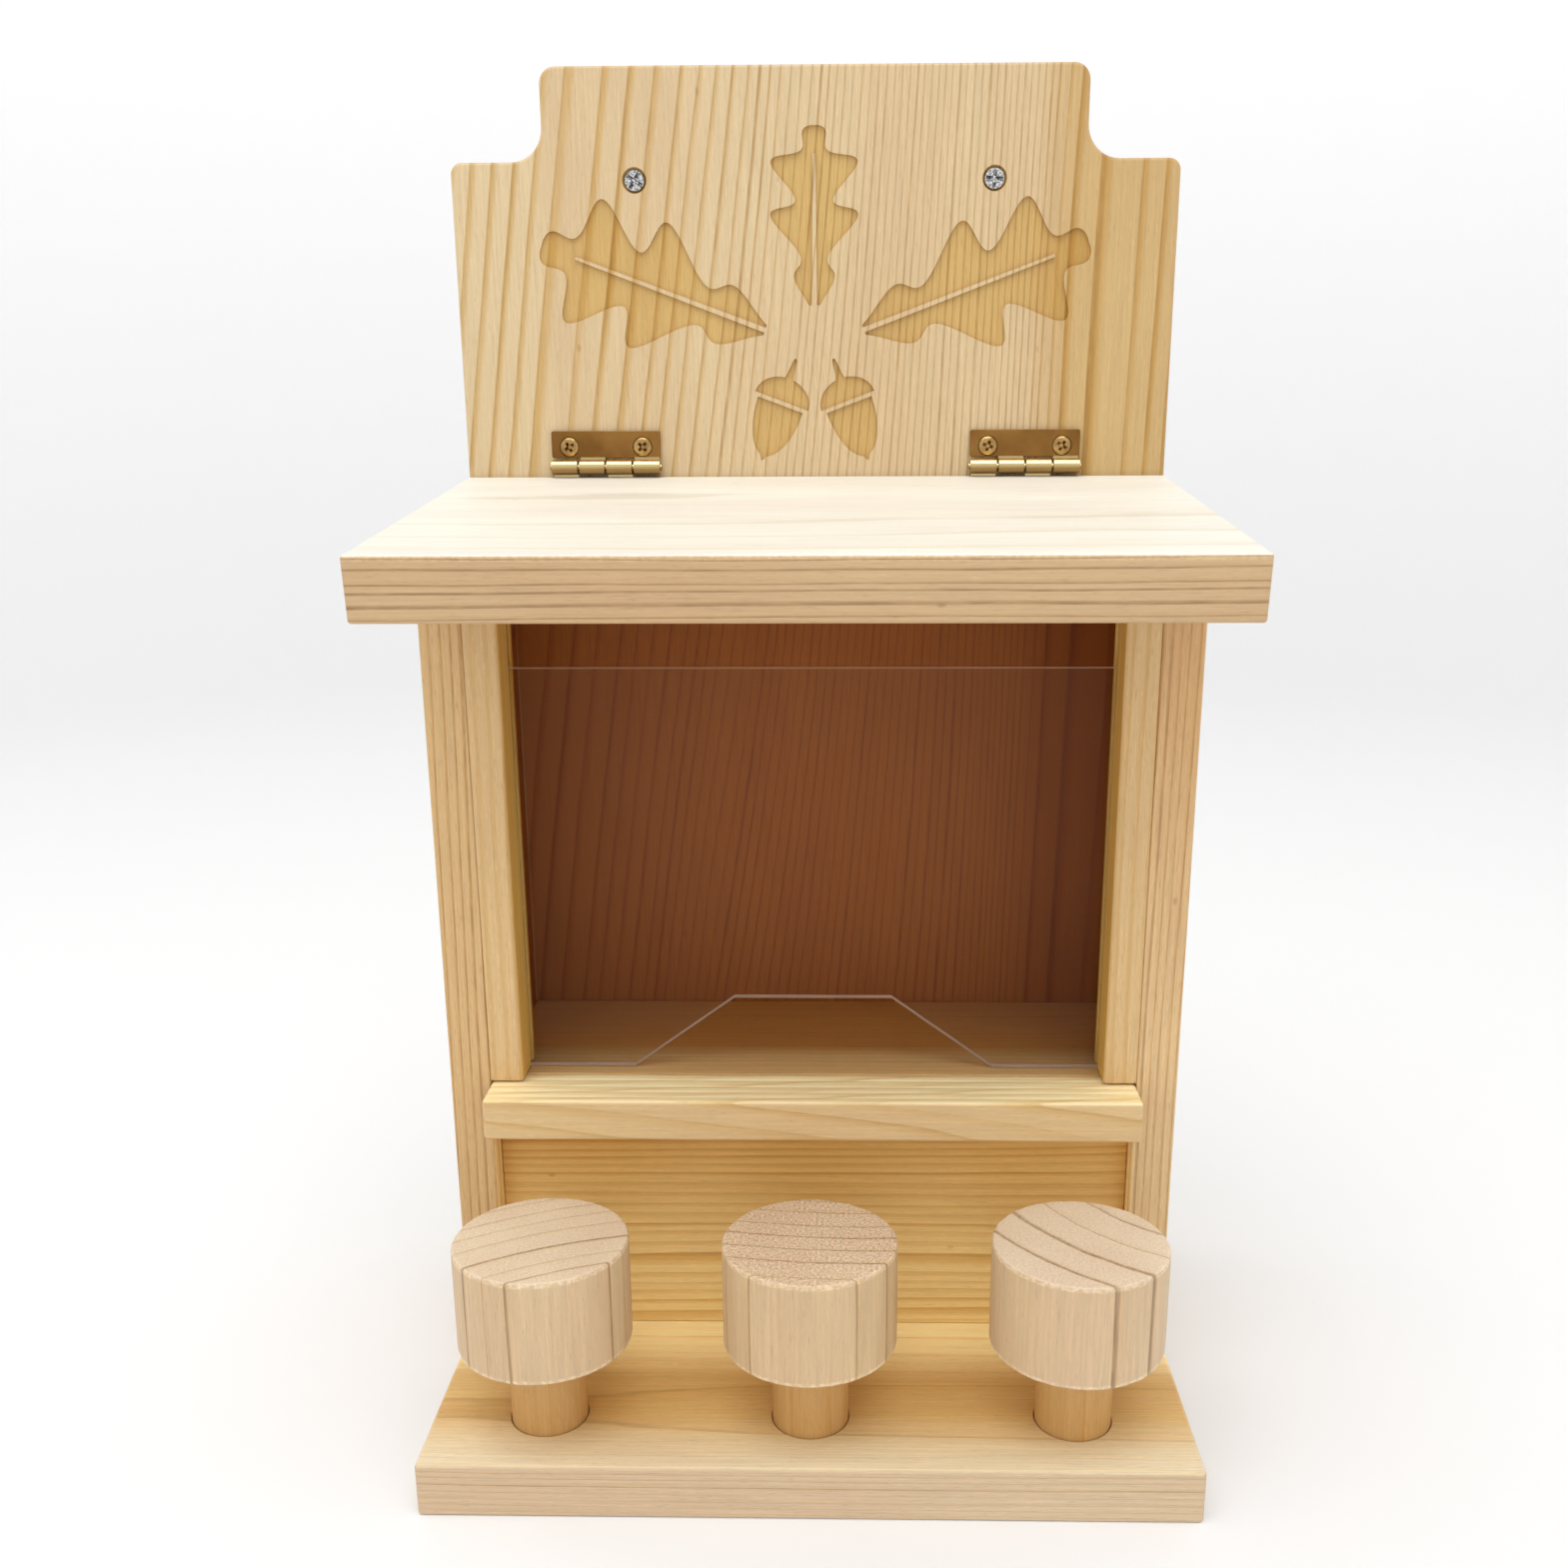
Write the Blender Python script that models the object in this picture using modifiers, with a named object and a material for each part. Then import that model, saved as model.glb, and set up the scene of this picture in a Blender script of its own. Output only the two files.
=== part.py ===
"""Squirrel feeder: a pine nut box on a tall back board, with a hinged lid and three stools.

Metres, +Z up. The front of the feeder looks along -Y. The origin is the centre of the base
board's underside. Every piece is its own object, and the pieces that move hang on an empty
that stands on their joint: the lid on the hinge line, the clear panel on its slide.
"""

import math

import bmesh
import bpy
from mathutils import Matrix, Vector

# Clearances
JOINT_GAP = 0.0003
SLIDE_CLEARANCE = 0.0003
POST_CLEARANCE = 0.0003
PIN_CLEARANCE = 0.00005
SCREW_CLEARANCE = 0.0001
CUT_OVERRUN = 0.002
WELD_DISTANCE = 0.0000003

# Back board, base board and the eased arris of every board
WIDTH = 0.160
BACK_HEIGHT = 0.2891
BACK_THICKNESS = 0.012
SHOULDER_WIDTH = 0.0204
SHOULDER_DROP = 0.0190
COVE_RADIUS = 0.0070
TOP_CORNER_RADIUS = 0.0035
SHOULDER_CORNER_RADIUS = 0.0025
BASE_DEPTH = 0.1007
BASE_THICKNESS = 0.0119
EDGE_EASE = 0.0004

# Nut box: walls, floor, counter and front
WALL_THICKNESS = 0.0089
WALL_DEPTH = 0.0526
FLOOR_TOP = 0.0749
FLOOR_THICKNESS = 0.0092
COUNTER_DEPTH = 0.0151
FRONT_SETBACK = 0.0056
FRONT_THICKNESS = 0.0080

# Guide strips and the clear panel that slides between them
STRIP_WIDTH = 0.0070
STRIP_DEPTH = 0.0140
KERF_SETBACK = 0.0088
KERF_DEPTH = 0.0035
PANEL_THICKNESS = 0.0024
PANEL_HEIGHT = 0.0900
NOTCH_WIDTH = 0.0806
NOTCH_TOP_WIDTH = 0.0350
NOTCH_HEIGHT = 0.0165

# Lid
LID_TOP_HEIGHT = 0.2034
LID_DEPTH = 0.0990
LID_THICKNESS = 0.0120
LID_SLOPE = math.radians(6.3)
LID_BACK_GAP = 0.0005

# Hinges
HINGE_WIDTH = 0.0249
HINGE_INSET = 0.0197
LEAF_THICKNESS = 0.0009
LEAF_REACH = 0.0080
PIN_DIAMETER = 0.0014
PIN_PROUD = 0.0005
KNUCKLE_COUNT = 4
EVEN_KNUCKLES, ODD_KNUCKLES = 0, 1
LEAF_UP, LEAF_DOWN = 1, -1
KNUCKLE_GAP = 0.0002
BARREL_LIFT = 0.0006
HINGE_SCREW_ROW = 0.00445
HINGE_SCREW_INSET = 0.00405

# Brass screws of the hinges
LEAF_SCREW_HEAD = 0.0042
LEAF_SCREW_SHANK = 0.0018
LEAF_SCREW_LENGTH = 0.0065
LEAF_SCREW_DOME = 0.0004
LEAF_SCREW_TIP = 0.0020

# Steel screws: the two that hang the feeder up, and those that hold the boards together
STEEL_SCREW_HEAD = 0.0054
MOUNT_SCREW_SHANK = 0.0030
MOUNT_SCREW_LENGTH = 0.0250
BOARD_SCREW_SHANK = 0.0028
BOARD_SCREW_LENGTH = 0.0250
STEEL_SCREW_TIP = 0.0040

# Stools
SEAT_DIAMETER = 0.0362
SEAT_THICKNESS = 0.0227
SEAT_TOP = 0.0533
SEAT_SOCKET = 0.0120
BASE_SOCKET = 0.0080
POST_DIAMETER = 0.0160
STOOL_INSET = 0.0245
STOOL_SETBACK = 0.0181

# Places of the mounting screws and of the screws that hold the boards together
MOUNT_SCREW_SPACING = 0.0790
MOUNT_SCREW_DROP = 0.0229
BUTT_SCREW_SPACING = 0.0700
HEAD_SINK = 0.0002
WALL_SCREW_HEIGHT_SHARES = (0.22, 0.80)
WALL_SCREW_DEPTH_SHARES = (0.25, 0.75)
DOME_SHOULDER_SHARE = 0.7

# Facets round a full turn
BARREL_FACETS = 20
SCREW_FACETS = 12
STOOL_FACETS = 40
CORNER_FACETS = 5

# Turns sharper than these are eased, or stay sharp in the shading
EASE_ANGLE = math.radians(40)
SHARP_ANGLE = math.radians(30)

# Places that follow from the sizes
HALF_WIDTH = WIDTH / 2
FACE_Y = BASE_DEPTH / 2 + JOINT_GAP
BACK_Y = FACE_Y + BACK_THICKNESS
BOX_REAR_Y = FACE_Y - JOINT_GAP
WALL_FRONT_Y = FACE_Y - JOINT_GAP - WALL_DEPTH
FRONT_Y = WALL_FRONT_Y + FRONT_SETBACK
WALL_FOOT = BASE_THICKNESS + JOINT_GAP
HALF_INSIDE = HALF_WIDTH - WALL_THICKNESS
WALL_MIDDLE_X = HALF_WIDTH - WALL_THICKNESS / 2
FLOOR_UNDERSIDE = FLOOR_TOP - FLOOR_THICKNESS
KERF_FRONT_Y = WALL_FRONT_Y + KERF_SETBACK
KERF_REAR_Y = KERF_FRONT_Y + PANEL_THICKNESS + 2 * SLIDE_CLEARANCE
PANEL_Y = (KERF_FRONT_Y + KERF_REAR_Y) / 2
STRIP_INNER_X = HALF_INSIDE - JOINT_GAP - STRIP_WIDTH
PANEL_HALF_WIDTH = STRIP_INNER_X + KERF_DEPTH - SLIDE_CLEARANCE
BORE_RADIUS = PIN_DIAMETER / 2 + PIN_CLEARANCE
KNUCKLE_RADIUS = BORE_RADIUS + LEAF_THICKNESS
KNUCKLE_PITCH = HINGE_WIDTH / KNUCKLE_COUNT
HINGE_X = HALF_WIDTH - HINGE_INSET - HINGE_WIDTH / 2
HINGE_Y = FACE_Y - JOINT_GAP - KNUCKLE_RADIUS
STOOL_Y = STOOL_SETBACK - BASE_DEPTH / 2
STOOL_X = HALF_WIDTH - STOOL_INSET
SEAT_UNDERSIDE = SEAT_TOP - SEAT_THICKNESS


class ScrewSize:
    """A countersunk wood screw: head and shank diameters, length, dome and tip."""

    def __init__(self, head, shank, length, dome, tip):
        self.head_radius = head / 2
        self.shank_radius = shank / 2
        self.length = length
        self.dome = dome
        self.tip = tip

    def solid_profile(self):
        """Half section from the top of the head down to the point, rim at height 0."""
        cone = self.head_radius - self.shank_radius
        return [
            (0, self.dome),
            (self.head_radius * DOME_SHOULDER_SHARE, self.dome * DOME_SHOULDER_SHARE),
            (self.head_radius, 0),
            (self.shank_radius, -cone),
            (self.shank_radius, self.tip - self.length),
            (0, -self.length),
        ]

    def hole_profile(self):
        """The same section grown by the screw clearance, open above the rim."""
        cone = self.head_radius - self.shank_radius
        head = self.head_radius + SCREW_CLEARANCE
        shank = self.shank_radius + SCREW_CLEARANCE
        return [
            (0, CUT_OVERRUN),
            (head, CUT_OVERRUN),
            (head, 0),
            (shank, -cone),
            (shank, self.tip - self.length),
            (0, -self.length - SCREW_CLEARANCE),
        ]


LEAF_SCREW = ScrewSize(
    LEAF_SCREW_HEAD, LEAF_SCREW_SHANK, LEAF_SCREW_LENGTH, LEAF_SCREW_DOME, LEAF_SCREW_TIP
)
LID_LEAF_SCREW = ScrewSize(LEAF_SCREW_HEAD, LEAF_SCREW_SHANK, LEAF_SCREW_LENGTH, 0, LEAF_SCREW_TIP)
MOUNT_SCREW = ScrewSize(STEEL_SCREW_HEAD, MOUNT_SCREW_SHANK, MOUNT_SCREW_LENGTH, 0, STEEL_SCREW_TIP)
BOARD_SCREW = ScrewSize(STEEL_SCREW_HEAD, BOARD_SCREW_SHANK, BOARD_SCREW_LENGTH, 0, STEEL_SCREW_TIP)

# Turns from a flat outline's own plane to the plane that it stands in
FRONT_VIEW = Matrix(((1, 0, 0), (0, 0, -1), (0, 1, 0)))
SIDE_VIEW = Matrix(((0, 0, 1), (1, 0, 0), (0, 1, 0)))
# Turns from a screw's own axis, point down, to the way that it is driven
DRIVEN_BACK = Matrix(((1, 0, 0), (0, 0, -1), (0, 1, 0)))
DRIVEN_FORWARD = Matrix(((-1, 0, 0), (0, 0, 1), (0, 1, 0)))
DRIVEN_UP = Matrix(((1, 0, 0), (0, -1, 0), (0, 0, -1)))
# Turn from an upright pin to one that lies across the feeder
LAID_ACROSS = Matrix(((0, 0, 1), (0, 1, 0), (-1, 0, 0)))


def clear_scene():
    """Remove whatever the file opened with."""
    for old in list(bpy.data.objects):
        bpy.data.objects.remove(old, do_unlink=True)


def new_collection(name):
    """A collection under the scene's own."""
    collection = bpy.data.collections.new(name)
    bpy.context.scene.collection.children.link(collection)
    return collection


def new_material(name, colour, roughness, metallic=0.0, transmission=0.0):
    """A Principled material of one colour."""
    material = bpy.data.materials.new(name)
    material.use_nodes = True
    shader = material.node_tree.nodes["Principled BSDF"]
    shader.inputs["Base Color"].default_value = (*colour, 1.0)
    shader.inputs["Roughness"].default_value = roughness
    shader.inputs["Metallic"].default_value = metallic
    shader.inputs["Transmission Weight"].default_value = transmission
    material.diffuse_color = (*colour, 1.0)
    return material


clear_scene()
PARTS = new_collection("squirrel_feeder")
CUTTERS = new_collection("squirrel_feeder_cutters")

# Name: colour, roughness, metallic, transmission
FINISHES = {
    "pine_back": ((0.80, 0.62, 0.39), 0.62, 0.0, 0.0),
    "pine_side": ((0.76, 0.57, 0.36), 0.65, 0.0, 0.0),
    "pine_strip": ((0.80, 0.62, 0.37), 0.60, 0.0, 0.0),
    "pine_floor": ((0.79, 0.60, 0.37), 0.62, 0.0, 0.0),
    "pine_counter": ((0.84, 0.68, 0.45), 0.58, 0.0, 0.0),
    "pine_front": ((0.74, 0.53, 0.30), 0.64, 0.0, 0.0),
    "pine_lid": ((0.88, 0.76, 0.56), 0.60, 0.0, 0.0),
    "pine_base": ((0.78, 0.60, 0.38), 0.64, 0.0, 0.0),
    "pine_seat": ((0.74, 0.58, 0.42), 0.68, 0.0, 0.0),
    "pine_post": ((0.72, 0.53, 0.32), 0.66, 0.0, 0.0),
    "brass": ((0.66, 0.48, 0.20), 0.32, 1.0, 0.0),
    "zinc": ((0.62, 0.62, 0.62), 0.38, 1.0, 0.0),
    "acrylic": ((0.95, 0.97, 0.97), 0.06, 0.0, 0.9),
}


def lid_top_height(y):
    """Height of the lid's upper face above the place y."""
    return LID_TOP_HEIGHT - (FACE_Y - y) * math.tan(LID_SLOPE)


def lid_underside_height(y):
    """Height of the lid's lower face above the place y."""
    return lid_top_height(y) - LID_THICKNESS / math.cos(LID_SLOPE)


HINGE_Z = lid_top_height(HINGE_Y) + BARREL_LIFT + KNUCKLE_RADIUS


def arc(centre, radius, start, end, facets):
    """Points of an arc in the plane, from one angle in degrees to another."""
    points = []
    for step in range(facets + 1):
        angle = math.radians(start + (end - start) * step / facets)
        points.append((centre[0] + radius * math.cos(angle), centre[1] + radius * math.sin(angle)))
    return points


def add_object(name, mesh, place, turn=None, parent=None, collection=PARTS):
    """Put a mesh in the scene at its place, measured from its parent."""
    thing = bpy.data.objects.new(name, mesh)
    collection.objects.link(thing)
    thing.parent = parent
    thing.matrix_local = Matrix.LocRotScale(Vector(place), turn, None)
    return thing


def box(name, low, high, parent=None, collection=PARTS):
    """A rectangular block between two corners, its origin at its middle."""
    low = Vector(low)
    high = Vector(high)
    shape = bmesh.new()
    bmesh.ops.create_cube(shape, size=1)
    bmesh.ops.scale(shape, vec=high - low, verts=shape.verts)
    mesh = bpy.data.meshes.new(name)
    shape.to_mesh(mesh)
    shape.free()
    return add_object(name, mesh, (low + high) / 2, parent=parent, collection=collection)


def plate(name, loops, thickness, place, turn, parent=None):
    """A flat outline, with any holes in it, filled and given its thickness both ways."""
    curve = bpy.data.curves.new(name + "_outline", "CURVE")
    curve.dimensions = "2D"
    curve.fill_mode = "BOTH"
    curve.extrude = thickness / 2
    for loop in loops:
        spline = curve.splines.new("POLY")
        spline.points.add(len(loop) - 1)
        for point, (across, up) in zip(spline.points, loop):
            point.co = (across, up, 0, 1)
        spline.use_cyclic_u = True
    guide = add_object(name + "_guide", curve, place, turn, parent)
    bpy.context.view_layer.update()
    depsgraph = bpy.context.evaluated_depsgraph_get()
    mesh = bpy.data.meshes.new_from_object(guide.evaluated_get(depsgraph))
    mesh.name = name
    shape = bmesh.new()
    shape.from_mesh(mesh)
    bmesh.ops.remove_doubles(shape, verts=shape.verts, dist=WELD_DISTANCE)
    bmesh.ops.recalc_face_normals(shape, faces=shape.faces)
    shape.to_mesh(mesh)
    shape.free()
    thing = add_object(name, mesh, place, turn, parent)
    thing.matrix_world = guide.matrix_world.copy()
    bpy.data.objects.remove(guide, do_unlink=True)
    return thing


def turned(name, profile, facets, place, turn=None, parent=None, collection=PARTS):
    """A solid of revolution: the profile runs down its outer side and ends on the axis."""
    mesh = bpy.data.meshes.new(name)
    edges = [(index, index + 1) for index in range(len(profile) - 1)]
    mesh.from_pydata([(radius, 0, height) for radius, height in profile], edges, [])
    thing = add_object(name, mesh, place, turn, parent, collection)
    spin = thing.modifiers.new("spin", "SCREW")
    spin.axis = "Z"
    spin.steps = facets
    spin.render_steps = facets
    spin.use_merge_vertices = True
    spin.merge_threshold = WELD_DISTANCE
    spin.use_smooth_shade = True
    return thing


def hide_cutter(cutter):
    """Show a cutter as wires, and leave it out of the part."""
    cutter.hide_render = True
    cutter.display_type = "WIRE"
    return cutter


def cut(thing, cutter):
    """Take the cutter's shape out of a piece."""
    modifier = thing.modifiers.new("cut_" + cutter.name, "BOOLEAN")
    modifier.operation = "DIFFERENCE"
    modifier.solver = "EXACT"
    modifier.object = cutter


def ease_edges(thing):
    """Take the sharp arris off a board, before anything is cut in it."""
    bevel = thing.modifiers.new("eased_arris", "BEVEL")
    bevel.width = EDGE_EASE
    bevel.segments = 1
    bevel.limit_method = "ANGLE"
    bevel.angle_limit = EASE_ANGLE


def finish(thing, finish_name):
    """Give a piece its material, and smooth shading where its faces turn gently."""
    thing.data.materials.append(new_material(thing.name, *FINISHES[finish_name]))
    if thing.data.polygons:
        thing.data.shade_smooth()
        thing.data.set_sharp_from_angle(angle=SHARP_ANGLE)
    return thing


def screw(name, size, place, turn, finish_name, holed, parent=None):
    """A wood screw, and its hole through each piece that it passes."""
    hole = turned(name + "_hole", size.hole_profile(), SCREW_FACETS, place, turn, parent, CUTTERS)
    hide_cutter(hole)
    for thing in holed:
        cut(thing, hole)
    return finish(turned(name, size.solid_profile(), SCREW_FACETS, place, turn, parent), finish_name)


def back_board_outline():
    """Front view of the back board: a raised top, coved down to two shoulders."""
    shoulder = BACK_HEIGHT - SHOULDER_DROP
    top_half = HALF_WIDTH - SHOULDER_WIDTH
    corner = SHOULDER_CORNER_RADIUS
    crown = TOP_CORNER_RADIUS
    right = [(HALF_WIDTH, 0)]
    right += arc((HALF_WIDTH - corner, shoulder - corner), corner, 0, 90, CORNER_FACETS)
    right += arc((top_half + COVE_RADIUS, shoulder + COVE_RADIUS), COVE_RADIUS, 270, 180, CORNER_FACETS)
    right += arc((top_half - crown, BACK_HEIGHT - crown), crown, 0, 90, CORNER_FACETS)
    left = [(-across, up) for across, up in reversed(right)]
    return right + left


def build_back_board():
    """The tall board that carries everything and is fixed to the tree or wall."""
    place = (0, (FACE_Y + BACK_Y) / 2, 0)
    board = plate("back_board", [back_board_outline()], BACK_THICKNESS, place, FRONT_VIEW)
    ease_edges(board)
    return finish(board, "pine_back")


def build_base_board():
    """The board that the feeder stands on, with a blind socket for each stool's post."""
    low = (-HALF_WIDTH, -BASE_DEPTH / 2, 0)
    board = box("base_board", low, (HALF_WIDTH, BASE_DEPTH / 2, BASE_THICKNESS))
    ease_edges(board)
    for name, x in stool_places():
        profile = round_bar(POST_DIAMETER / 2 + POST_CLEARANCE, BASE_SOCKET, CUT_OVERRUN)
        place = (x, STOOL_Y, BASE_THICKNESS)
        socket = turned("socket_" + name, profile, STOOL_FACETS, place, collection=CUTTERS)
        cut(board, hide_cutter(socket))
    return finish(board, "pine_base")


def build_side_wall(name, side):
    """One side of the nut box, its top edge cut to the slope of the lid."""
    outline = [
        (WALL_FRONT_Y, WALL_FOOT),
        (BOX_REAR_Y, WALL_FOOT),
        (BOX_REAR_Y, lid_underside_height(BOX_REAR_Y) - JOINT_GAP),
        (WALL_FRONT_Y, lid_underside_height(WALL_FRONT_Y) - JOINT_GAP),
    ]
    wall = plate(name, [outline], WALL_THICKNESS, (side * WALL_MIDDLE_X, 0, 0), SIDE_VIEW)
    ease_edges(wall)
    return finish(wall, "pine_side")


def build_hopper_floor():
    """The board that the nuts lie on, between the walls."""
    reach = HALF_INSIDE - JOINT_GAP
    board = box("hopper_floor", (-reach, FRONT_Y, FLOOR_UNDERSIDE), (reach, BOX_REAR_Y, FLOOR_TOP))
    ease_edges(board)
    return finish(board, "pine_floor")


def build_counter_bar():
    """The bar along the front edge of the hopper floor, where the nuts come out."""
    reach = HALF_INSIDE - JOINT_GAP
    rear = FRONT_Y - JOINT_GAP
    bar = box("counter_bar", (-reach, rear - COUNTER_DEPTH, FLOOR_UNDERSIDE), (reach, rear, FLOOR_TOP))
    ease_edges(bar)
    return finish(bar, "pine_counter")


def build_lower_front():
    """The panel that closes the space below the hopper floor."""
    reach = HALF_INSIDE - JOINT_GAP
    high = (reach, FRONT_Y + FRONT_THICKNESS, FLOOR_UNDERSIDE - JOINT_GAP)
    panel = box("lower_front_panel", (-reach, FRONT_Y, WALL_FOOT), high)
    ease_edges(panel)
    return finish(panel, "pine_front")


def build_guide_strip(name, side):
    """A strip on the wall's inner face, with a saw kerf that the clear panel slides in."""
    foot = FLOOR_TOP + JOINT_GAP
    rear = WALL_FRONT_Y + STRIP_DEPTH
    outline = [
        (WALL_FRONT_Y, foot),
        (rear, foot),
        (rear, lid_underside_height(rear) - JOINT_GAP),
        (WALL_FRONT_Y, lid_underside_height(WALL_FRONT_Y) - JOINT_GAP),
    ]
    middle = side * (STRIP_INNER_X + STRIP_WIDTH / 2)
    strip = plate(name, [outline], STRIP_WIDTH, (middle, 0, 0), SIDE_VIEW)
    ease_edges(strip)
    inner = side * (STRIP_INNER_X - CUT_OVERRUN)
    bottom = side * (STRIP_INNER_X + KERF_DEPTH)
    low = (min(inner, bottom), KERF_FRONT_Y, foot - CUT_OVERRUN)
    high = (max(inner, bottom), KERF_REAR_Y, LID_TOP_HEIGHT)
    cut(strip, hide_cutter(box(name + "_kerf", low, high, collection=CUTTERS)))
    return finish(strip, "pine_strip")


def build_clear_panel():
    """The clear front of the nut box, with the feeding notch in its lower edge."""
    slide = bpy.data.objects.new("clear_panel_slide", None)
    PARTS.objects.link(slide)
    slide.location = (0, PANEL_Y, FLOOR_TOP + JOINT_GAP)
    outline = [
        (-PANEL_HALF_WIDTH, 0),
        (-NOTCH_WIDTH / 2, 0),
        (-NOTCH_TOP_WIDTH / 2, NOTCH_HEIGHT),
        (NOTCH_TOP_WIDTH / 2, NOTCH_HEIGHT),
        (NOTCH_WIDTH / 2, 0),
        (PANEL_HALF_WIDTH, 0),
        (PANEL_HALF_WIDTH, PANEL_HEIGHT),
        (-PANEL_HALF_WIDTH, PANEL_HEIGHT),
    ]
    panel = plate("clear_panel", [outline], PANEL_THICKNESS, (0, 0, 0), FRONT_VIEW, slide)
    return finish(panel, "acrylic")


def build_lid_board(axis):
    """The sloping lid, its rear edge upright and let in for the two hinge leaves."""
    rear = FACE_Y - LID_BACK_GAP
    front = FACE_Y - LID_DEPTH * math.cos(LID_SLOPE)
    front_top = LID_TOP_HEIGHT - LID_DEPTH * math.sin(LID_SLOPE)
    outline = [
        (rear, lid_top_height(rear)),
        (front, front_top),
        (front + LID_THICKNESS * math.sin(LID_SLOPE), front_top - LID_THICKNESS * math.cos(LID_SLOPE)),
        (rear, lid_underside_height(rear)),
    ]
    outline = [(y - HINGE_Y, z - HINGE_Z) for y, z in outline]
    lid = plate("lid_board", [outline], WIDTH, (0, 0, 0), SIDE_VIEW, axis)
    ease_edges(lid)
    for name, x in hinge_places():
        half = HINGE_WIDTH / 2 + JOINT_GAP
        low = (x - half, KNUCKLE_RADIUS - LEAF_THICKNESS - JOINT_GAP, -LEAF_REACH - JOINT_GAP)
        high = (x + half, KNUCKLE_RADIUS + CUT_OVERRUN, CUT_OVERRUN)
        mortise = box("mortise_" + name, low, high, parent=axis, collection=CUTTERS)
        cut(lid, hide_cutter(mortise))
    return finish(lid, "pine_lid")


def hinge_places():
    """Name and place across the feeder of each hinge."""
    return (("left", -HINGE_X), ("right", HINGE_X))


def stool_places():
    """Name and place across the feeder of each stool."""
    return (("left", -STOOL_X), ("middle", 0), ("right", STOOL_X))


def leaf_section(side):
    """Side view of a leaf and its rolled knuckle, the leaf standing up or hanging down."""
    front_face = KNUCKLE_RADIUS - LEAF_THICKNESS
    meets = math.degrees(math.acos(front_face / KNUCKLE_RADIUS))
    roll = arc((0, 0), KNUCKLE_RADIUS, meets, 360, BARREL_FACETS)
    outer = [(front_face, LEAF_REACH)] + roll + [(KNUCKLE_RADIUS, LEAF_REACH)]
    bore = arc((0, 0), BORE_RADIUS, 0, 360, BARREL_FACETS)[:-1]
    return [[(y, side * z) for y, z in loop] for loop in (outer, bore)]


def build_leaf(name, side, kept_knuckles, x, parent):
    """A leaf whose rolled edge is notched to leave every second knuckle of the barrel."""
    leaf = plate(name, leaf_section(side), HINGE_WIDTH, (x, 0, 0), SIDE_VIEW, parent)
    free = KNUCKLE_RADIUS + KNUCKLE_GAP
    far = KNUCKLE_RADIUS + CUT_OVERRUN
    for index in range(KNUCKLE_COUNT):
        if index % 2 == kept_knuckles:
            continue
        left = x - HINGE_WIDTH / 2 + index * KNUCKLE_PITCH - KNUCKLE_GAP / 2
        right = left + KNUCKLE_PITCH + KNUCKLE_GAP
        if index == 0:
            left -= CUT_OVERRUN
        if index == KNUCKLE_COUNT - 1:
            right += CUT_OVERRUN
        low = (left, -far, min(-side * far, side * free))
        high = (right, far, max(-side * far, side * free))
        notch = box(f"{name}_notch_{index}", low, high, parent=parent, collection=CUTTERS)
        cut(leaf, hide_cutter(notch))
    return finish(leaf, "brass")


def build_hinge(name, x, board, lid, fixed, axis):
    """One butt hinge: a leaf on the back board, a leaf on the lid's rear edge, a pin and screws."""
    board_leaf = build_leaf(f"hinge_{name}_board_leaf", LEAF_UP, ODD_KNUCKLES, x, fixed)
    lid_leaf = build_leaf(f"hinge_{name}_lid_leaf", LEAF_DOWN, EVEN_KNUCKLES, x, axis)
    half = HINGE_WIDTH / 2 + PIN_PROUD
    crown = PIN_PROUD / 2
    radius = PIN_DIAMETER / 2
    profile = [(0, half), (radius - crown, half), (radius, half - crown), (radius, crown - half)]
    profile += [(radius - crown, -half), (0, -half)]
    pin = turned(f"hinge_{name}_pin", profile, BARREL_FACETS, (x, 0, 0), LAID_ACROSS, fixed)
    finish(pin, "brass")
    outward = math.copysign(HINGE_WIDTH / 2 - HINGE_SCREW_INSET, x)
    front_face = KNUCKLE_RADIUS - LEAF_THICKNESS
    for end, shift in (("outer", outward), ("inner", -outward)):
        screw_x = x + shift
        up = (screw_x, front_face, HINGE_SCREW_ROW)
        title = f"hinge_{name}_board_screw_{end}"
        screw(title, LEAF_SCREW, up, DRIVEN_BACK, "brass", (board_leaf, board), fixed)
        down = (screw_x, KNUCKLE_RADIUS, -HINGE_SCREW_ROW)
        title = f"hinge_{name}_lid_screw_{end}"
        screw(title, LID_LEAF_SCREW, down, DRIVEN_FORWARD, "brass", (lid_leaf, lid), axis)


def round_bar(radius, below, above):
    """Half section of a plain round bar, from its top down to its foot."""
    return [(0, above), (radius, above), (radius, -below), (0, -below)]


def eased_bar(radius, below, above):
    """Half section of a round bar with its two edges eased."""
    inner = radius - EDGE_EASE
    top = [(0, above), (inner, above), (radius, above - EDGE_EASE)]
    return top + [(radius, EDGE_EASE - below), (inner, -below), (0, -below)]


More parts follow.
